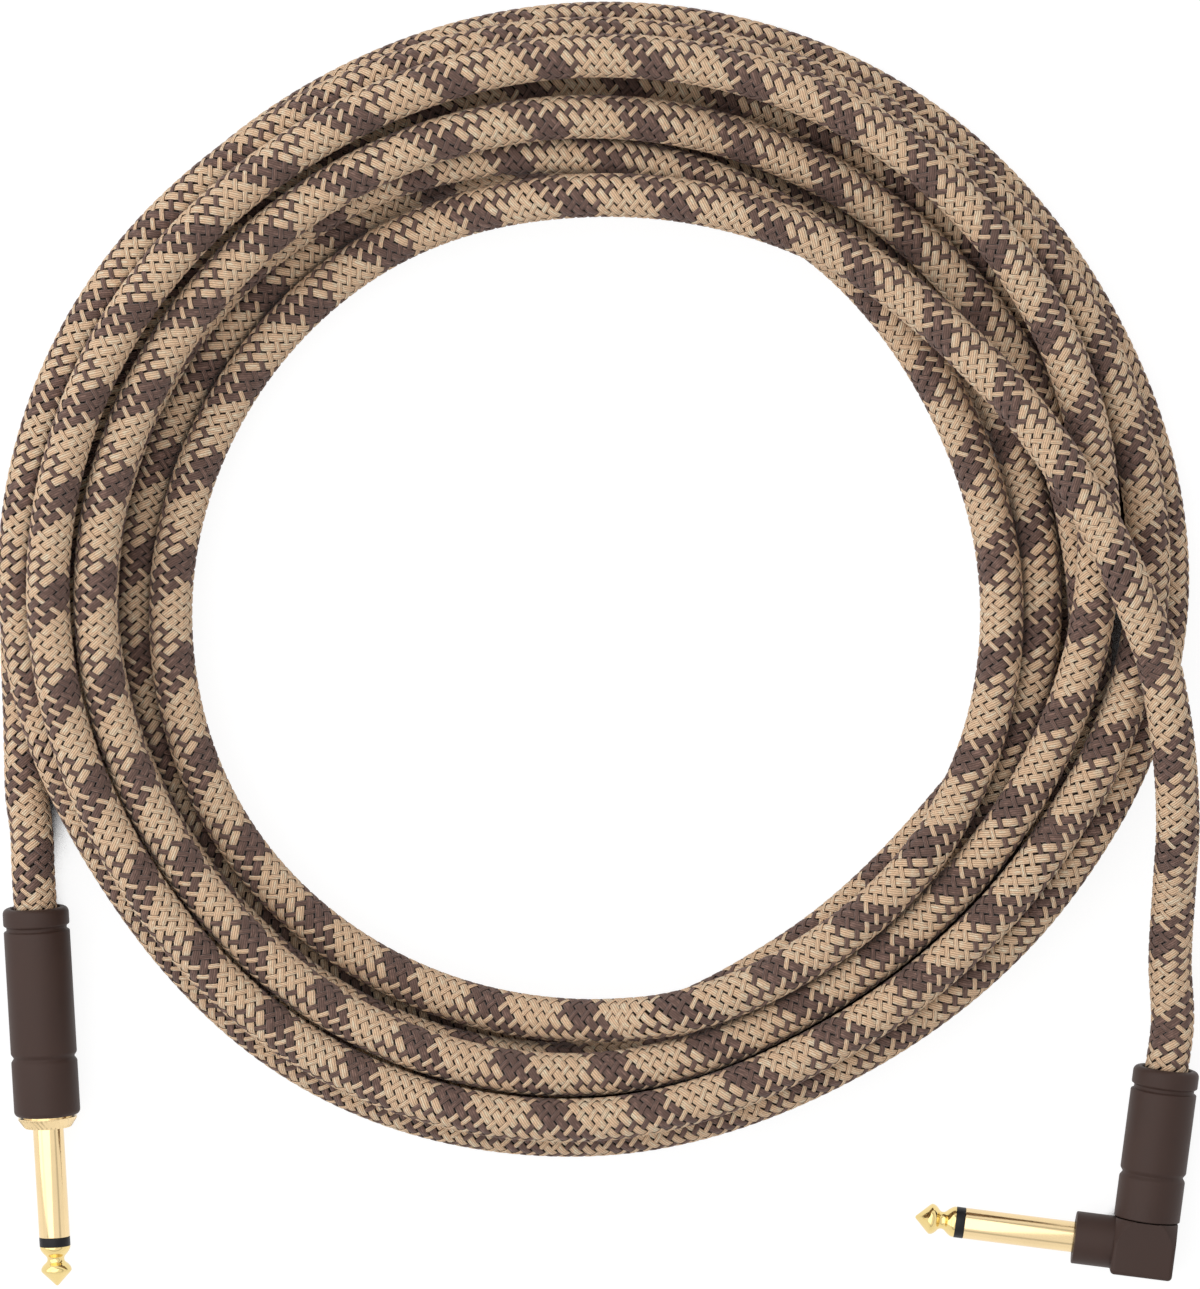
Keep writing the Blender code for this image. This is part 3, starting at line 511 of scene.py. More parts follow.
def cord_axes(route):
    """Sideways, upward and forward directions of the cord at each point."""
    ahead = np.gradient(route, axis=0)
    ahead /= np.linalg.norm(ahead, axis=1)[:, None]
    side = np.cross((0.0, 0.0, 1.0), ahead)
    side /= np.linalg.norm(side, axis=1)[:, None]
    return side, np.cross(ahead, side), ahead


# --- Node helpers -------------------------------------------------------------------------------------------
FINISHES = {}


def new_finish(name):
    made = bpy.data.materials.new(name)
    made.use_nodes = True
    return made, made.node_tree, made.node_tree.nodes["Principled BSDF"]


def add(tree, kind, values=(), **settings):
    """A node with its settings and with some inputs filled in, by name or number."""
    made = tree.nodes.new(kind)
    for key, value in settings.items():
        setattr(made, key, value)
    for key, value in dict(values).items():
        made.inputs[key].default_value = value
    return made


def maths(tree, operation, *inputs):
    """A Math node fed by numbers or sockets; gives back its result."""
    made = add(tree, "ShaderNodeMath", operation=operation)
    for socket, value in zip(made.inputs, inputs):
        if isinstance(value, (int, float)):
            socket.default_value = value
        else:
            tree.links.new(value, socket)
    return made.outputs[0]


def mixed(tree, share, first, second):
    """A colour Mix node fed by colours or sockets."""
    made = add(tree, "ShaderNodeMix", data_type="RGBA")
    for socket, value in ((made.inputs[0], share), (made.inputs[6], first), (made.inputs[7], second)):
        if hasattr(value, "is_linked"):
            tree.links.new(value, socket)
        else:
            socket.default_value = value
    return made.outputs[2]


def new_group(name, inputs, outputs):
    tree = bpy.data.node_groups.new(name, "ShaderNodeTree")
    for title, kind, default in inputs:
        socket = tree.interface.new_socket(title, in_out="INPUT", socket_type=kind)
        if default is not None:
            socket.default_value = default
    for title, kind in outputs:
        tree.interface.new_socket(title, in_out="OUTPUT", socket_type=kind)
    return tree, tree.nodes.new("NodeGroupInput"), tree.nodes.new("NodeGroupOutput")


def yarn_group():
    """Parallel yarns in a flat strand: their colour, with flecks, painted shade in the valleys between yarns
    and painted shade in the crevices round the strand, and their height.
    """
    if "yarn_bundle" in bpy.data.node_groups:
        return bpy.data.node_groups["yarn_bundle"]
    tree, given, result = new_group(
        "yarn_bundle",
        (
            ("Across", "NodeSocketFloat", 0.5),
            ("Along", "NodeSocketFloat", 0.0),
            ("Yarns", "NodeSocketFloat", 7.0),
            ("Main", "NodeSocketColor", None),
            ("Pale", "NodeSocketColor", None),
            ("Deep", "NodeSocketColor", None),
        ),
        (("Color", "NodeSocketColor"), ("Height", "NodeSocketFloat"), ("Roughness", "NodeSocketFloat")),
    )
    place = maths(tree, "MULTIPLY", given.outputs["Across"], given.outputs["Yarns"])
    within = maths(tree, "FRACT", place)
    off = maths(tree, "ABSOLUTE", maths(tree, "SUBTRACT", within, 0.5))
    crest = maths(tree, "SUBTRACT", 1.0, maths(tree, "MULTIPLY", maths(tree, "POWER", off, 2.0), 4.0))
    lane = maths(tree, "FLOOR", place)
    point = add(tree, "ShaderNodeCombineXYZ")
    tree.links.new(maths(tree, "MULTIPLY", lane, 3.7), point.inputs[0])
    tree.links.new(maths(tree, "MULTIPLY", given.outputs["Along"], 0.45), point.inputs[1])
    lanes = add(tree, "ShaderNodeTexNoise", {"Scale": 1.0, "Detail": 2.0, "Roughness": 0.6})
    tree.links.new(point.outputs[0], lanes.inputs["Vector"])
    fine_point = add(tree, "ShaderNodeCombineXYZ")
    tree.links.new(maths(tree, "MULTIPLY", place, 3.0), fine_point.inputs[0])
    tree.links.new(maths(tree, "MULTIPLY", given.outputs["Along"], 2.2), fine_point.inputs[1])
    fibres = add(tree, "ShaderNodeTexNoise", {"Scale": 1.0, "Detail": 3.0, "Roughness": 0.65})
    tree.links.new(fine_point.outputs[0], fibres.inputs["Vector"])
    spots = add(tree, "ShaderNodeMapRange", {"From Min": 0.48, "From Max": 0.68})
    tree.links.new(lanes.outputs["Fac"], spots.inputs["Value"])
    colour = mixed(tree, spots.outputs[0], given.outputs["Main"], given.outputs["Pale"])
    dull = add(tree, "ShaderNodeMapRange", {"From Min": 0.52, "From Max": 0.30, "To Max": 0.45})
    tree.links.new(fibres.outputs["Fac"], dull.inputs["Value"])
    colour = mixed(tree, dull.outputs[0], colour, given.outputs["Deep"])
    # painted shade: the colour darkens towards Deep at each yarn's edges, where shade falls between yarns
    painted_valley_shade = maths(tree, "MULTIPLY", maths(tree, "POWER", maths(tree, "SUBTRACT", 1.0, crest), 1.7), 0.78)
    colour = mixed(tree, painted_valley_shade, colour, given.outputs["Deep"])
    # painted shade: where other strands and turns close in within 6 mm, the colour turns near-black warm
    # brown
    crevice_occlusion = add(tree, "ShaderNodeAmbientOcclusion", {"Distance": 6.0 * MM}, samples=4)
    painted_crevice_shade = add(tree, "ShaderNodeMapRange", {"From Min": 0.40, "From Max": 0.08, "To Max": 0.80})
    tree.links.new(crevice_occlusion.outputs["AO"], painted_crevice_shade.inputs["Value"])
    colour = mixed(tree, painted_crevice_shade.outputs[0], colour, (0.035, 0.016, 0.006, 1.0))
    tree.links.new(colour, result.inputs["Color"])
    height = maths(tree, "ADD", crest, maths(tree, "MULTIPLY", fibres.outputs["Fac"], 0.7))
    tree.links.new(height, result.inputs["Height"])
    roughness = maths(tree, "ADD", 0.62, maths(tree, "MULTIPLY", fibres.outputs["Fac"], 0.3))
    tree.links.new(roughness, result.inputs["Roughness"])
    return tree


def yarn_finish(name, yarns, main, pale, deep, sheen):
    """A strand of so many yarns, coloured along the weave by its texture coordinates."""
    made, tree, shader = new_finish(name)
    uv = add(tree, "ShaderNodeUVMap", uv_map="weave")
    split = add(tree, "ShaderNodeSeparateXYZ")
    tree.links.new(uv.outputs[0], split.inputs[0])
    bundle = add(tree, "ShaderNodeGroup", node_tree=yarn_group())
    for key, value in (("Yarns", yarns), ("Main", (*main, 1)), ("Pale", (*pale, 1)), ("Deep", (*deep, 1))):
        bundle.inputs[key].default_value = value
    tree.links.new(split.outputs[0], bundle.inputs["Across"])
    tree.links.new(split.outputs[1], bundle.inputs["Along"])
    bump = add(tree, "ShaderNodeBump", {"Strength": 0.9, "Distance": 0.14 * MM})
    tree.links.new(bundle.outputs["Height"], bump.inputs["Height"])
    tree.links.new(bundle.outputs["Color"], shader.inputs["Base Color"])
    tree.links.new(bundle.outputs["Roughness"], shader.inputs["Roughness"])
    tree.links.new(bump.outputs[0], shader.inputs["Normal"])
    shader.inputs["Sheen Weight"].default_value = sheen
    shader.inputs["Sheen Roughness"].default_value = 0.45
    shader.inputs["Specular IOR Level"].default_value = 0.22
    return made


def grain_group():
    """Fine unevenness of a hard surface: a height for bump and a mask for wear and colour."""
    if "surface_grain" in bpy.data.node_groups:
        return bpy.data.node_groups["surface_grain"]
    tree, given, result = new_group(
        "surface_grain",
        (("Fine scale", "NodeSocketFloat", 2500.0), ("Broad scale", "NodeSocketFloat", 160.0)),
        (("Height", "NodeSocketFloat"), ("Mask", "NodeSocketFloat")),
    )
    place = add(tree, "ShaderNodeTexCoord")
    for title, output, detail in (("Fine scale", "Height", 2.0), ("Broad scale", "Mask", 4.0)):
        noise = add(tree, "ShaderNodeTexNoise", {"Detail": detail, "Roughness": 0.6})
        tree.links.new(place.outputs["Object"], noise.inputs["Vector"])
        tree.links.new(given.outputs[title], noise.inputs["Scale"])
        tree.links.new(noise.outputs["Fac"], result.inputs[output])
    return tree


def hard_finish(
    name, colour, other, roughness, spread, metallic=0.0, depth=0.01, fine=2500.0, broad=160.0, gloss=0.5
):
    """A hard surface whose colour drifts to other, and whose roughness varies by spread, over its grain."""
    made, tree, shader = new_finish(name)
    grain = add(tree, "ShaderNodeGroup", node_tree=grain_group())
    grain.inputs["Fine scale"].default_value = fine
    grain.inputs["Broad scale"].default_value = broad
    soft = add(tree, "ShaderNodeMapRange", {"From Min": 0.35, "From Max": 0.65})
    tree.links.new(grain.outputs["Mask"], soft.inputs["Value"])
    tree.links.new(mixed(tree, soft.outputs[0], (*colour, 1), (*other, 1)), shader.inputs["Base Color"])
    uneven = maths(tree, "MULTIPLY", soft.outputs[0], spread)
    tree.links.new(maths(tree, "ADD", uneven, roughness), shader.inputs["Roughness"])
    bump = add(tree, "ShaderNodeBump", {"Strength": 0.5, "Distance": depth * MM})
    tree.links.new(grain.outputs["Height"], bump.inputs["Height"])
    tree.links.new(bump.outputs[0], shader.inputs["Normal"])
    shader.inputs["Metallic"].default_value = metallic
    shader.inputs["Specular IOR Level"].default_value = gloss
    return made


def finish(name):
    """The named finish, made the first time it is asked for; the solids' own materials are never taken."""
    if name not in FINISHES:
        FINISHES[name] = make_finish(name)
    return FINISHES[name]


def make_finish(name):
    cord = bpy.context.scene.cable_cord
    plug = bpy.context.scene.cable_plug
    tan, brown, shell, gold = (Vector(c) for c in (cord.tan, cord.brown, plug.shell, plug.plating))
    pale, shade = Vector((0.99, 0.85, 0.63)), Vector((0.26, 0.14, 0.06))
    yarns = {
        "tan_yarn_wide": (4, tan, pale, shade, 0.12),
        "tan_yarn_narrow": (3, tan * 1.04, pale, shade, 0.12),
        "brown_yarn_wide": (4, brown, brown * 1.8, brown * 0.4, 0.15),
        "brown_yarn_narrow": (3, brown * 1.05, brown * 1.8, brown * 0.4, 0.15),
    }
    if name in yarns:
        return yarn_finish(name, *yarns[name])
    deep_gold = Vector((0.88, 0.68, 0.30))
    metal = {"metallic": 1.0}
    plated = {**metal, "depth": 0.004, "fine": 2200, "broad": 120}
    satin = {"depth": 0.012, "fine": 5200, "broad": 90, "gloss": 0.22}
    colour, other, roughness, spread, grain = {
        # partly painted shade: the core's dark warm colour stands for the shade in the slits of the braid
        "cord_core_and_slit_shade": ((0.045, 0.024, 0.011), (0.055, 0.031, 0.016), 0.8, 0.15, {"depth": 0.05, "fine": 1500}),
        "satin_shell": (shell, shell * 1.12, 0.48, 0.08, satin),
        "polished_plating": (gold, gold * 0.95, 0.12, 0.05, plated),
        "tip_plating": (deep_gold, deep_gold * 0.92, 0.10, 0.05, plated),
        "moulded_black": ((0.008, 0.008, 0.009), (0.013, 0.013, 0.014), 0.38, 0.10, {"gloss": 0.25}),
        "fibre_board": ((0.30, 0.15, 0.08), (0.38, 0.21, 0.12), 0.75, 0.1, {"depth": 0.03}),
        "tinned_metal": ((0.72, 0.70, 0.66), (0.62, 0.58, 0.50), 0.28, 0.15, metal),
        "pale_insulation": ((0.82, 0.81, 0.76), (0.76, 0.74, 0.68), 0.45, 0.1, {}),
        "bare_copper": ((0.80, 0.42, 0.26), (0.62, 0.31, 0.18), 0.3, 0.15, {**metal, "depth": 0.03}),
    }[name]
    return hard_finish(name, colour, other, roughness, spread, **grain)


# --- Stage --------------------------------------------------------------------------------------------------
def by_ray(tree, lit, shown):
    """Shown to rays of the camera, of reflections and of transmission, and lit to all others."""
    path = add(tree, "ShaderNodeLightPath")
    seen = maths(tree, "MAXIMUM", path.outputs["Is Camera Ray"], path.outputs["Is Glossy Ray"])
    seen = maths(tree, "MAXIMUM", seen, path.outputs["Is Transmission Ray"])
    mix = add(tree, "ShaderNodeMixShader")
    tree.links.new(seen, mix.inputs[0])
    tree.links.new(lit, mix.inputs[1])
    tree.links.new(shown, mix.inputs[2])
    return mix.outputs[0]


class CABLE_OT_stage(bpy.types.Operator):
    """Lay the white table, hang the softbox and set up the long lens"""

    bl_idname = "cable.stage"
    bl_label = "Stage"

    def execute(self, context):
        settings = context.scene.cable_stage
        toward = Vector((0.0, math.cos(settings.elevation), math.sin(settings.elevation)))
        turn = (settings.elevation - math.pi / 2, 0.0, 0.0)
        bpy.ops.object.camera_add(location=PICTURE_CENTRE + toward * settings.distance, rotation=turn)
        camera = context.object
        camera.name = "long_lens"
        camera.data.sensor_fit = "AUTO"
        camera.data.lens = camera.data.sensor_width * settings.distance / settings.picture_height
        camera.data.clip_start = 0.1
        camera.data.clip_end = 20.0
        context.scene.camera = camera
        context.scene.view_settings.view_transform = "Standard"

        bpy.ops.mesh.primitive_plane_add(size=TABLE_SIZE, location=(0.0, 0.0, -TABLE_DROP))
        table = context.object
        table.name = "table"
        bpy.ops.object.transform_apply(location=True, rotation=True, scale=True)
        made, tree, shader = new_finish("table_paper")
        shader.inputs["Base Color"].default_value = (*settings.surface, 1.0)
        shader.inputs["Roughness"].default_value = 0.9
        paper = add(tree, "ShaderNodeBsdfDiffuse")
        glow = add(tree, "ShaderNodeEmission", {"Color": WHITE})
        # painted shade: where the AO finds the coil closing over the table, its glow fades and its paper
        # turns dark brown
        occlusion = add(tree, "ShaderNodeAmbientOcclusion", {"Distance": GAP_SHADE_REACH}, samples=40)
        shade = {"From Min": 0.19, "From Max": 0.28}
        out_of_painted_shade = add(tree, "ShaderNodeMapRange", shade, interpolation_type="SMOOTHSTEP")
        tree.links.new(occlusion.outputs["AO"], out_of_painted_shade.inputs["Value"])
        tree.links.new(mixed(tree, out_of_painted_shade.outputs[0], PAINTED_GAP_SHADE, OPEN_PAPER), paper.inputs["Color"])
        tree.links.new(maths(tree, "MULTIPLY", out_of_painted_shade.outputs[0], PAPER_GLOW), glow.inputs["Strength"])
        both = add(tree, "ShaderNodeAddShader")
        tree.links.new(paper.outputs[0], both.inputs[0])
        tree.links.new(glow.outputs[0], both.inputs[1])
        surface = tree.nodes["Material Output"].inputs["Surface"]
        tree.links.new(by_ray(tree, shader.outputs[0], both.outputs[0]), surface)
        table.data.materials.append(made)

        world = bpy.data.worlds.new("studio")
        world.use_nodes = True
        context.scene.world = world
        tree = world.node_tree
        ambient = tree.nodes["Background"]
        ambient.inputs["Color"].default_value = WHITE
        ambient.inputs["Strength"].default_value = AMBIENT
        reflected = add(tree, "ShaderNodeBackground", {"Strength": 1.0})
        direction = add(tree, "ShaderNodeSeparateXYZ")
        tree.links.new(add(tree, "ShaderNodeTexCoord").outputs["Generated"], direction.inputs[0])
        dark_flag = add(tree, "ShaderNodeValToRGB")
        for stop, level in DARK_FLAG:
            dark_flag.color_ramp.elements.new(stop).color = (level, level, level, 1.0)
        dark_flag.color_ramp.elements[0].color = WHITE
        tree.links.new(direction.outputs["Z"], dark_flag.inputs[0])
        tree.links.new(dark_flag.outputs[0], reflected.inputs["Color"])
        surface = tree.nodes["World Output"].inputs["Surface"]
        tree.links.new(by_ray(tree, ambient.outputs[0], reflected.outputs[0]), surface)

        bpy.ops.object.light_add(type="AREA", location=SOFTBOX_PLACE + PICTURE_CENTRE)
        lamp = context.object
        lamp.name = "overhead_softbox"
        lamp.data.size = SOFTBOX_SIZE
        lamp.data.energy = SOFTBOX_POWER
        lamp.rotation_euler = (-SOFTBOX_PLACE).to_track_quat("-Z", "Y").to_euler()
        return {"FINISHED"}


# --- Operators for the pieces -------------------------------------------------------------------------------
class CABLE_OT_cord(bpy.types.Operator):
    """Weave the braid over the coiled cord, strand by strand"""

    bl_idname = "cable.cord"
    bl_label = "Woven cord"

    def execute(self, context):
        settings = context.scene.cable_cord
        rest = settings.woven_diameter / 2 + TABLE_CLEARANCE
        spacing = settings.lay / (2 * STRANDS) / STEPS_PER_CROSSING
        route, along = cord_route(spacing, rest)
        axes = cord_axes(route)
        for hand, family, width in ((1, "right", "wide"), (-1, "left", "narrow")):
            for number in range(STRANDS):
                points, uv, sides = strand_points(route, along, axes, settings, number, hand)
                colour = "brown" if number < DARK_STRANDS else "tan"
                name = f"{colour}_strand_{family}_{number + 1}"
                strand = mesh_piece(name, points, ring_faces(len(route), sides), uv)
                strand.data.materials.append(finish(f"{colour}_yarn_{width}"))
                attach(strand, "root")

        # the core is real, but its dark warm colour is partly painted shade seen through the slits between
        # strands
        coarse = route[::CORE_STEP]
        side, up, _ = (axis[::CORE_STEP] for axis in axes)
        radius = settings.woven_diameter / 2 - 2 * STRAND_THICKNESS
        turn = 2 * math.pi * np.arange(CORE_SIDES) / CORE_SIDES
        points = (
            coarse[:, None, :]
            + radius * np.cos(turn)[None, :, None] * side[:, None, :]
            + radius * np.sin(turn)[None, :, None] * up[:, None, :]
        )
        core = mesh_piece("cord_core_and_slit_shade", points.reshape(-1, 3), ring_faces(len(coarse), CORE_SIDES))
        core.data.materials.append(finish("cord_core_and_slit_shade"))
        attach(core, "root")
        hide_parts("cord_coil", "cord_straight_lead", "cord_angle_lead")
        print(f"cord: {along[-1]:.3f} m in {len(route)} rings")
        return {"FINISHED"}


def barrel_outline(length, front_band, end_rounding):
    """Shell from seat to mouth: rounded front, V groove, straight body, ring groove, rounded mouth."""
    outer, bore, mouth = BARREL_DIAMETER / 2, BARREL_BORE / 2, MOUTH_BORE / 2
    start, bottom = GAP / 2, outer - GROOVE_DEPTH
    ring_start = length - MOUTH_RING
    points = [(bore, start), (outer - end_rounding, start)]
    points += arc(outer - end_rounding, start + end_rounding, end_rounding, -75, 0, 6)
    points += [
        (outer, front_band),
        (bottom, front_band + BAND_GROOVE_WIDTH / 2),
        (outer, front_band + BAND_GROOVE_WIDTH),
        (outer, ring_start - MOUTH_GROOVE_WIDTH),
        (bottom, ring_start - 0.8 * MOUTH_GROOVE_WIDTH),
        (bottom, ring_start - 0.25 * MOUTH_GROOVE_WIDTH),
        (outer, ring_start),
    ]
    points += arc(outer - MOUTH_ROUNDING, length - MOUTH_ROUNDING, MOUTH_ROUNDING, 0, 90, 8)
    points += arc(mouth + LIP_ROUNDING, length - LIP_ROUNDING, LIP_ROUNDING, 90, 180, 5)
    return points + [(mouth, length - LIP_LENGTH), (bore, length - LIP_LENGTH)]


class CABLE_OT_barrels(bpy.types.Operator):
    """Turn the two screw-on barrels"""

    bl_idname = "cable.barrels"
    bl_label = "Barrels"

    def execute(self, context):
        soft = 1.8 * context.scene.cable_plug.soft_edge
        straight = barrel_outline(STRAIGHT_BARREL_LENGTH, STRAIGHT_FRONT_BAND, STRAIGHT_END_ROUNDING)
        angle = barrel_outline(ANGLE_BARREL_LENGTH, ANGLE_FRONT_BAND, ANGLE_END_ROUNDING)
        for side, outline, place in (("straight", straight, STRAIGHT_PLACE), ("angle", angle, ANGLE_PLACE)):
            shell = turned(side + "_barrel_shell", outline, soft=soft)
            settle_in_place(shell, place)
            finish_piece(shell, side + "_barrel", side + "_barrel", finish("satin_shell"))
        return {"FINISHED"}


def thread_outline(inner):
    """Male thread with its crests and roots, from its relief groove at the seat to its lead-in."""
    crest = BARREL_BORE / 2 - GAP
    root = crest - THREAD_DEPTH
    points = [(root, -GAP / 2), (root, THREAD_RELIEF)]
    height = FIRST_CREST
    while height < THREAD_LENGTH - THREAD_LEAD_IN:
        points += [(crest, height), (root, height + THREAD_PITCH / 2)]
        height += THREAD_PITCH
    return points + [(root, THREAD_LENGTH), (inner, THREAD_LENGTH)]


class CABLE_OT_collar(bpy.types.Operator):
    """Turn the plated collar of the straight plug and press its slanting knurl"""

    bl_idname = "cable.collar"
    bl_label = "Knurled collar"

    def execute(self, context):
        flange, seat, bore = FLANGE_DIAMETER / 2, FINGER_DIAMETER / 2 + GAP, SLEEVE_BORE / 2
        start, end = KNURL_START / 2, flange - FLANGE_EDGE
        low, high = KNURL_HEIGHTS
        sides = KNURL_TEETH * KNURL_COLUMNS
        rows = [(share, low + (high - low) * share) for share in (0.0, 0.25, 0.5, 0.75, 1.0)]
        rim = [(start * (1 - share) + end * share, height) for share, height in rows]
        outline = [(seat, -FLANGE_LENGTH), (FLANGE_NOSE_DIAMETER / 2, -FLANGE_LENGTH)]
        outline += rim + [(end, high + FLANGE_EDGE), (end, -GAP / 2)]
        outline += thread_outline(bore) + [(bore, 0.0), (seat, 0.0)]
        collar = turned("knurled_collar", outline, sides=sides, smooth_degrees=22)

        def lies_in(part):
            """Picks the knurl's vertices in these columns, which shift by one from row to row."""

            def wanted(co):
                row = min(range(len(rim)), key=lambda i: abs(rim[i][1] - co.z))
                if math.dist((math.hypot(co.x, co.y), co.z), rim[row]) > ON_THE_KNURL:
                    return False
                column = round(math.atan2(co.y, co.x) / (2 * math.pi) * sides)
                return (column + row) % KNURL_COLUMNS in part

            return wanted

        for part, depth in (((0,), KNURL_DEPTH), ((1, 3), KNURL_FLANK_DEPTH)):
            share = 1 - depth / flange
            pick(collar, lies_in(part))
            bpy.ops.transform.resize(value=(share, share, 1.0), center_override=(0.0, 0.0, 0.0))
            bpy.ops.object.mode_set(mode="OBJECT")
        settle_in_place(collar, STRAIGHT_PLACE)
        finish_piece(collar, "root", "straight_knurled_collar", finish("polished_plating"))
        return {"FINISHED"}


class CABLE_OT_elbow(bpy.types.Operator):
    """Shape the square elbow, turned round at its seat, with its nose for the finger"""

    bl_idname = "cable.elbow"
    bl_label = "Elbow"

    def execute(self, context):
        half, seat = ELBOW_WIDTH / 2, BARREL_DIAMETER / 2
        height = ELBOW_HEIGHT + OVERLAP
        bpy.ops.object.select_all(action="DESELECT")
        bpy.ops.mesh.primitive_cube_add(size=1.0, location=(0.0, 0.0, OVERLAP - height / 2))
        block = context.object
        block.name = block.data.name = "elbow_block"
        block.scale = (ELBOW_WIDTH, ELBOW_WIDTH, height)
        bpy.ops.object.transform_apply(location=True, rotation=True, scale=True)
        bevel = block.modifiers.new("Soft edges", "BEVEL")
        bevel.width = ELBOW_ROUNDING
        bevel.segments = 9
        bpy.ops.object.modifier_apply(modifier=bevel.name)

        corner = half * math.sqrt(2) + GAP
        dome = [(0.0, -ELBOW_HEIGHT - OVERLAP), (corner, -ELBOW_HEIGHT - OVERLAP)]
        for step in range(DOME_STEPS, 0, -1):
            share = (step / DOME_STEPS) ** 2
            dome.append((seat + (corner - seat) * share**DOME_FULLNESS, -DOME_DEPTH * share))
        dome += [(seat, -GAP / 2), (0.0, -GAP / 2)]
        combine(block, turned("dome_tool", dome), "INTERSECT")

        sideways = Matrix.Translation((0, 0, -FINGER_DROP)) @ Matrix.Rotation(math.radians(90), 4, "Y")
        nose = NOSE_DIAMETER / 2
        outline = [(0.0, OVERLAP), (nose, OVERLAP), (nose, NOSE_REACH - NOSE_ROUNDING)]
        outline += arc(nose - NOSE_ROUNDING, NOSE_REACH - NOSE_ROUNDING, NOSE_ROUNDING, 12, 90, 8)
        outline.append((0.0, NOSE_REACH))
        tool = turned("nose_tool", outline)
        settle_in_place(tool, sideways)
        combine(block, tool, "UNION")
        thread = thread_outline(0.0)
        boss = [(0.0, -OVERLAP), (thread[0][0], -OVERLAP)] + thread[1:]
        combine(block, turned("thread_tool", boss), "UNION")
        reach = THREAD_LENGTH + OVERLAP
        side = ELBOW_CAVITY / 2
        cavity = ((0.0, -CAVITY_DEPTH), (side, -CAVITY_DEPTH), (side, reach), (0.0, reach))
        combine(block, turned("cavity_tool", cavity), "DIFFERENCE")
        seat_bore, reach = FINGER_DIAMETER / 2 + GAP, NOSE_REACH + OVERLAP
        tool = turned("bore_tool", ((0.0, 0.0), (seat_bore, 0.0), (seat_bore, reach), (0.0, reach)))
        settle_in_place(tool, sideways)
        combine(block, tool, "DIFFERENCE")
        only(block)
        bpy.ops.object.shade_smooth_by_angle(angle=math.radians(13))
        settle_in_place(block, ANGLE_PLACE)
        finish_piece(block, "root", "angle_elbow", finish("satin_shell"))
        return {"FINISHED"}


class CABLE_OT_fingers(bpy.types.Operator):
    """Turn the sleeve, the black ring and the tip of each plug"""

    bl_idname = "cable.fingers"
    bl_label = "Fingers"

    def execute(self, context):
        soft = context.scene.cable_plug.soft_edge
        down = STRAIGHT_PLACE @ Matrix.Translation((0, 0, -FLANGE_LENGTH))
        sideways = ANGLE_PLACE @ Matrix.Translation((0, 0, -FINGER_DROP))
        sideways = sideways @ Matrix.Rotation(math.radians(-90), 4, "Y")
        sideways = sideways @ Matrix.Translation((0, 0, -NOSE_REACH))
        outer, bore, rod = FINGER_DIAMETER / 2, SLEEVE_BORE / 2, ROD_DIAMETER / 2
        close = GAP / 10  # between the ring and the two plated pieces beside it
        ring_back = -SLEEVE_LENGTH - close
        tip_back = -SLEEVE_LENGTH - RING_LENGTH - GAP
        ring_front = tip_back + close
        ends = {
            "straight": (down, FLANGE_LENGTH - GAP),
            "angle": (sideways, NOSE_REACH - ELBOW_CAVITY / 2 - GAP),
        }
        for side, (place, sleeve_end) in ends.items():
            front = -SLEEVE_LENGTH
            outline = ((bore, front), (outer, front), (outer, sleeve_end), (bore, sleeve_end))
            sleeve = turned(side + "_sleeve_shell", outline, soft=soft)
            settle_in_place(sleeve, place)
            finish_piece(sleeve, "root", side + "_sleeve", finish("polished_plating"))
            inner = rod + GAP
            outline = ((inner, ring_front), (outer, ring_front), (outer, ring_back), (inner, ring_back))
            ring = turned(side + "_black_ring", outline, soft=soft / 2)
            settle_in_place(ring, place)
            finish_piece(ring, "root", side + "_tip_insulator", finish("moulded_black"))
            low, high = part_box(side + "_tip")
            reach = max(high[i] - low[i] for i in range(3))
            tip = turned(side + "_tip_point", tip_outline(outer, rod, tip_back, reach), smooth_degrees=40)
            settle_in_place(tip, place)
            finish_piece(tip, "root", side + "_tip", finish("tip_plating"))
        return {"FINISHED"}


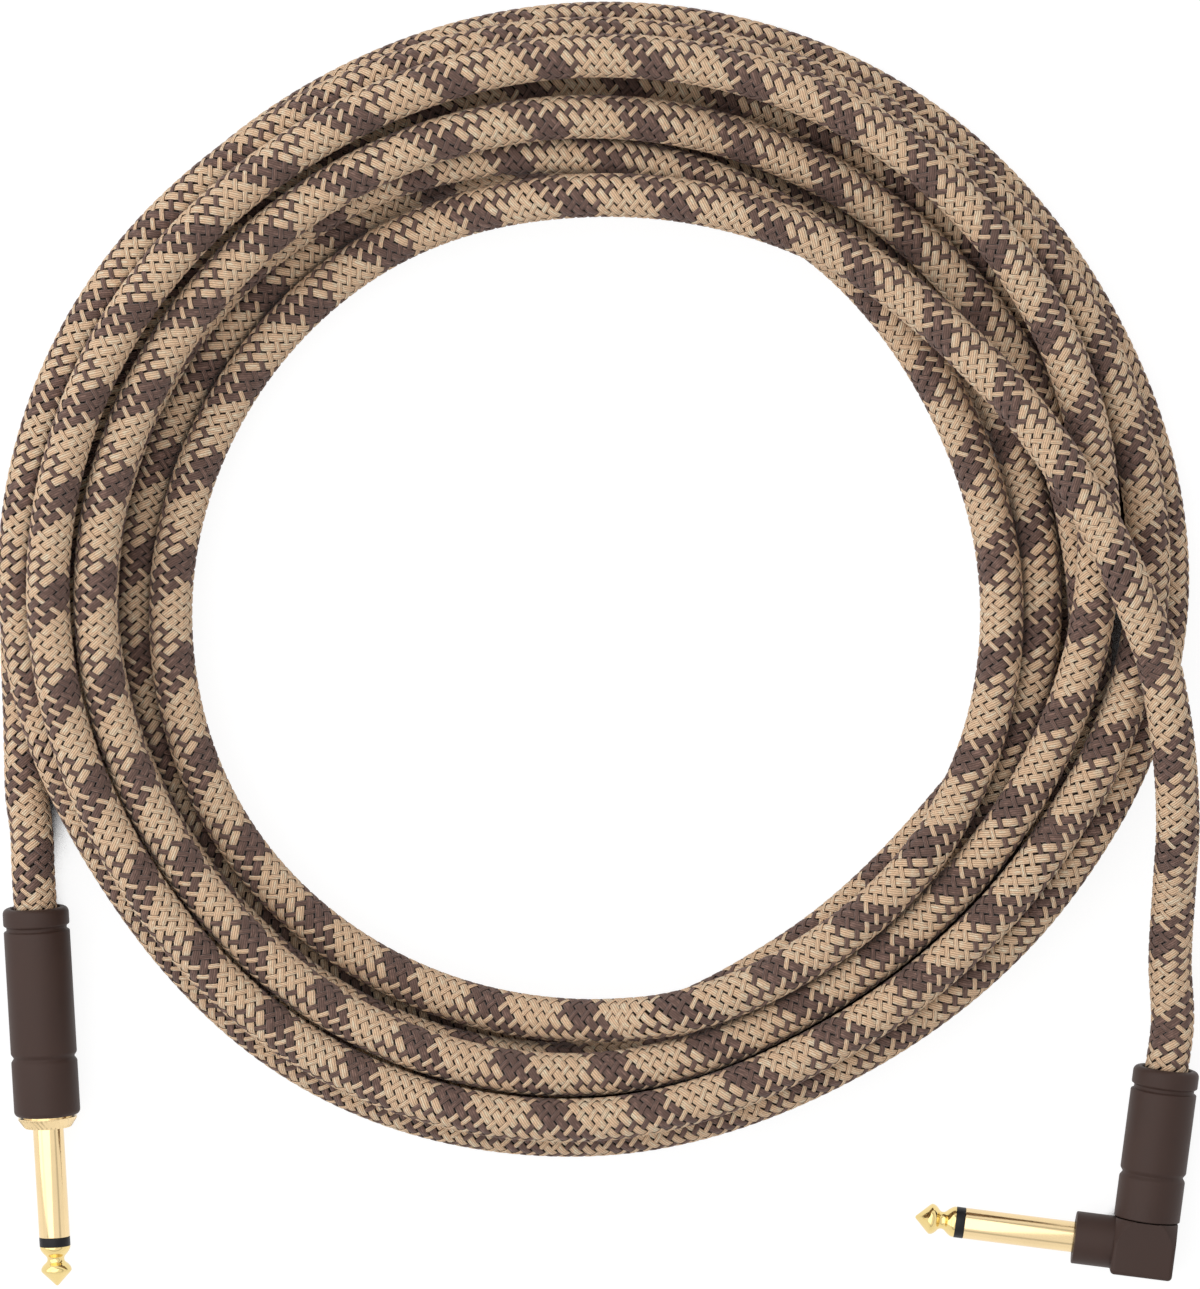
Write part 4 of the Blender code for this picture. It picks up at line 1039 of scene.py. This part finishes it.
def tip_outline(outer, rod, back, reach):
    """Tip from its point: rounded point, cone, shoulder, hollow neck, lip, and the rod behind it."""
    point = back - TIP_LENGTH
    shares = [(0.0, 0.0), (0.05, 0.001), (0.09, 0.008), (0.86, 0.310), (0.93, 0.342), (0.97, 0.365)]
    keys = (0.38, 0.43, 0.53, 0.61, 0.67, 0.73, 0.81, 0.92, 0.96, 1.0)
    radii = (0.99, 0.98, 0.82, 0.59, 0.55, 0.59, 0.775, 0.96, 0.99, 0.99)
    heights = np.linspace(keys[0], keys[-1], 26)
    shares += list(zip(smooth(keys, radii, heights), heights))
    outline = [(float(r) * outer, point + float(h) * TIP_LENGTH) for r, h in shares]
    end = point + reach
    rivet, thick = 1.6 * MM, 0.5 * MM
    return outline + [(rod, back), (rod, end - thick), (rivet, end - thick), (rivet, end), (0.0, end)]


CARRIED = {
    "liner": "moulded_black",
    "cable_clamp": "tinned_metal",
    "tip_lug": "tinned_metal",
    "insulating_washer": "fibre_board",
    "inner_insulator": "moulded_black",
    "inner_jacket": "moulded_black",
    "core_insulation": "pale_insulation",
    "centre_wire": "bare_copper",
    "shield_tail": "bare_copper",
}


class CABLE_OT_inside(bpy.types.Operator):
    """Give the solids inside the barrels their finishes"""

    bl_idname = "cable.inside"
    bl_label = "Terminals and insulation"

    def execute(self, context):
        for name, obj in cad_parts.items():
            look = [look for part, look in CARRIED.items() if name.endswith(part)]
            if look:
                obj.data.materials.clear()
                obj.data.materials.append(finish(look[0]))
        return {"FINISHED"}


class CABLE_PT_panel(bpy.types.Panel):
    bl_idname = "CABLE_PT_panel"
    bl_label = "Instrument cable"
    bl_space_type = "VIEW_3D"
    bl_region_type = "UI"
    bl_category = "Cable"

    def draw(self, context):
        for group, kind in SETTINGS.items():
            box = self.layout.box()
            for name in kind.__annotations__:
                box.prop(getattr(context.scene, group), name)
        for step in STEPS:
            self.layout.operator(step.bl_idname)


STEPS = (
    CABLE_OT_stage, CABLE_OT_cord, CABLE_OT_barrels, CABLE_OT_collar, CABLE_OT_elbow, CABLE_OT_fingers,
    CABLE_OT_inside,
)


def register():
    for group, kind in SETTINGS.items():
        bpy.utils.register_class(kind)
        setattr(bpy.types.Scene, group, bpy.props.PointerProperty(type=kind))
    for kind in (*STEPS, CABLE_PT_panel):
        bpy.utils.register_class(kind)


def unregister():
    for kind in (*STEPS, CABLE_PT_panel):
        bpy.utils.unregister_class(kind)
    for group, kind in SETTINGS.items():
        delattr(bpy.types.Scene, group)
        bpy.utils.unregister_class(kind)


def main():
    register()
    bpy.ops.cable.stage()
    bpy.ops.cable.cord()
    bpy.ops.cable.barrels()
    bpy.ops.cable.collar()
    bpy.ops.cable.elbow()
    bpy.ops.cable.fingers()
    bpy.ops.cable.inside()
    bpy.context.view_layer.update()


if __name__ == "__main__":
    main()
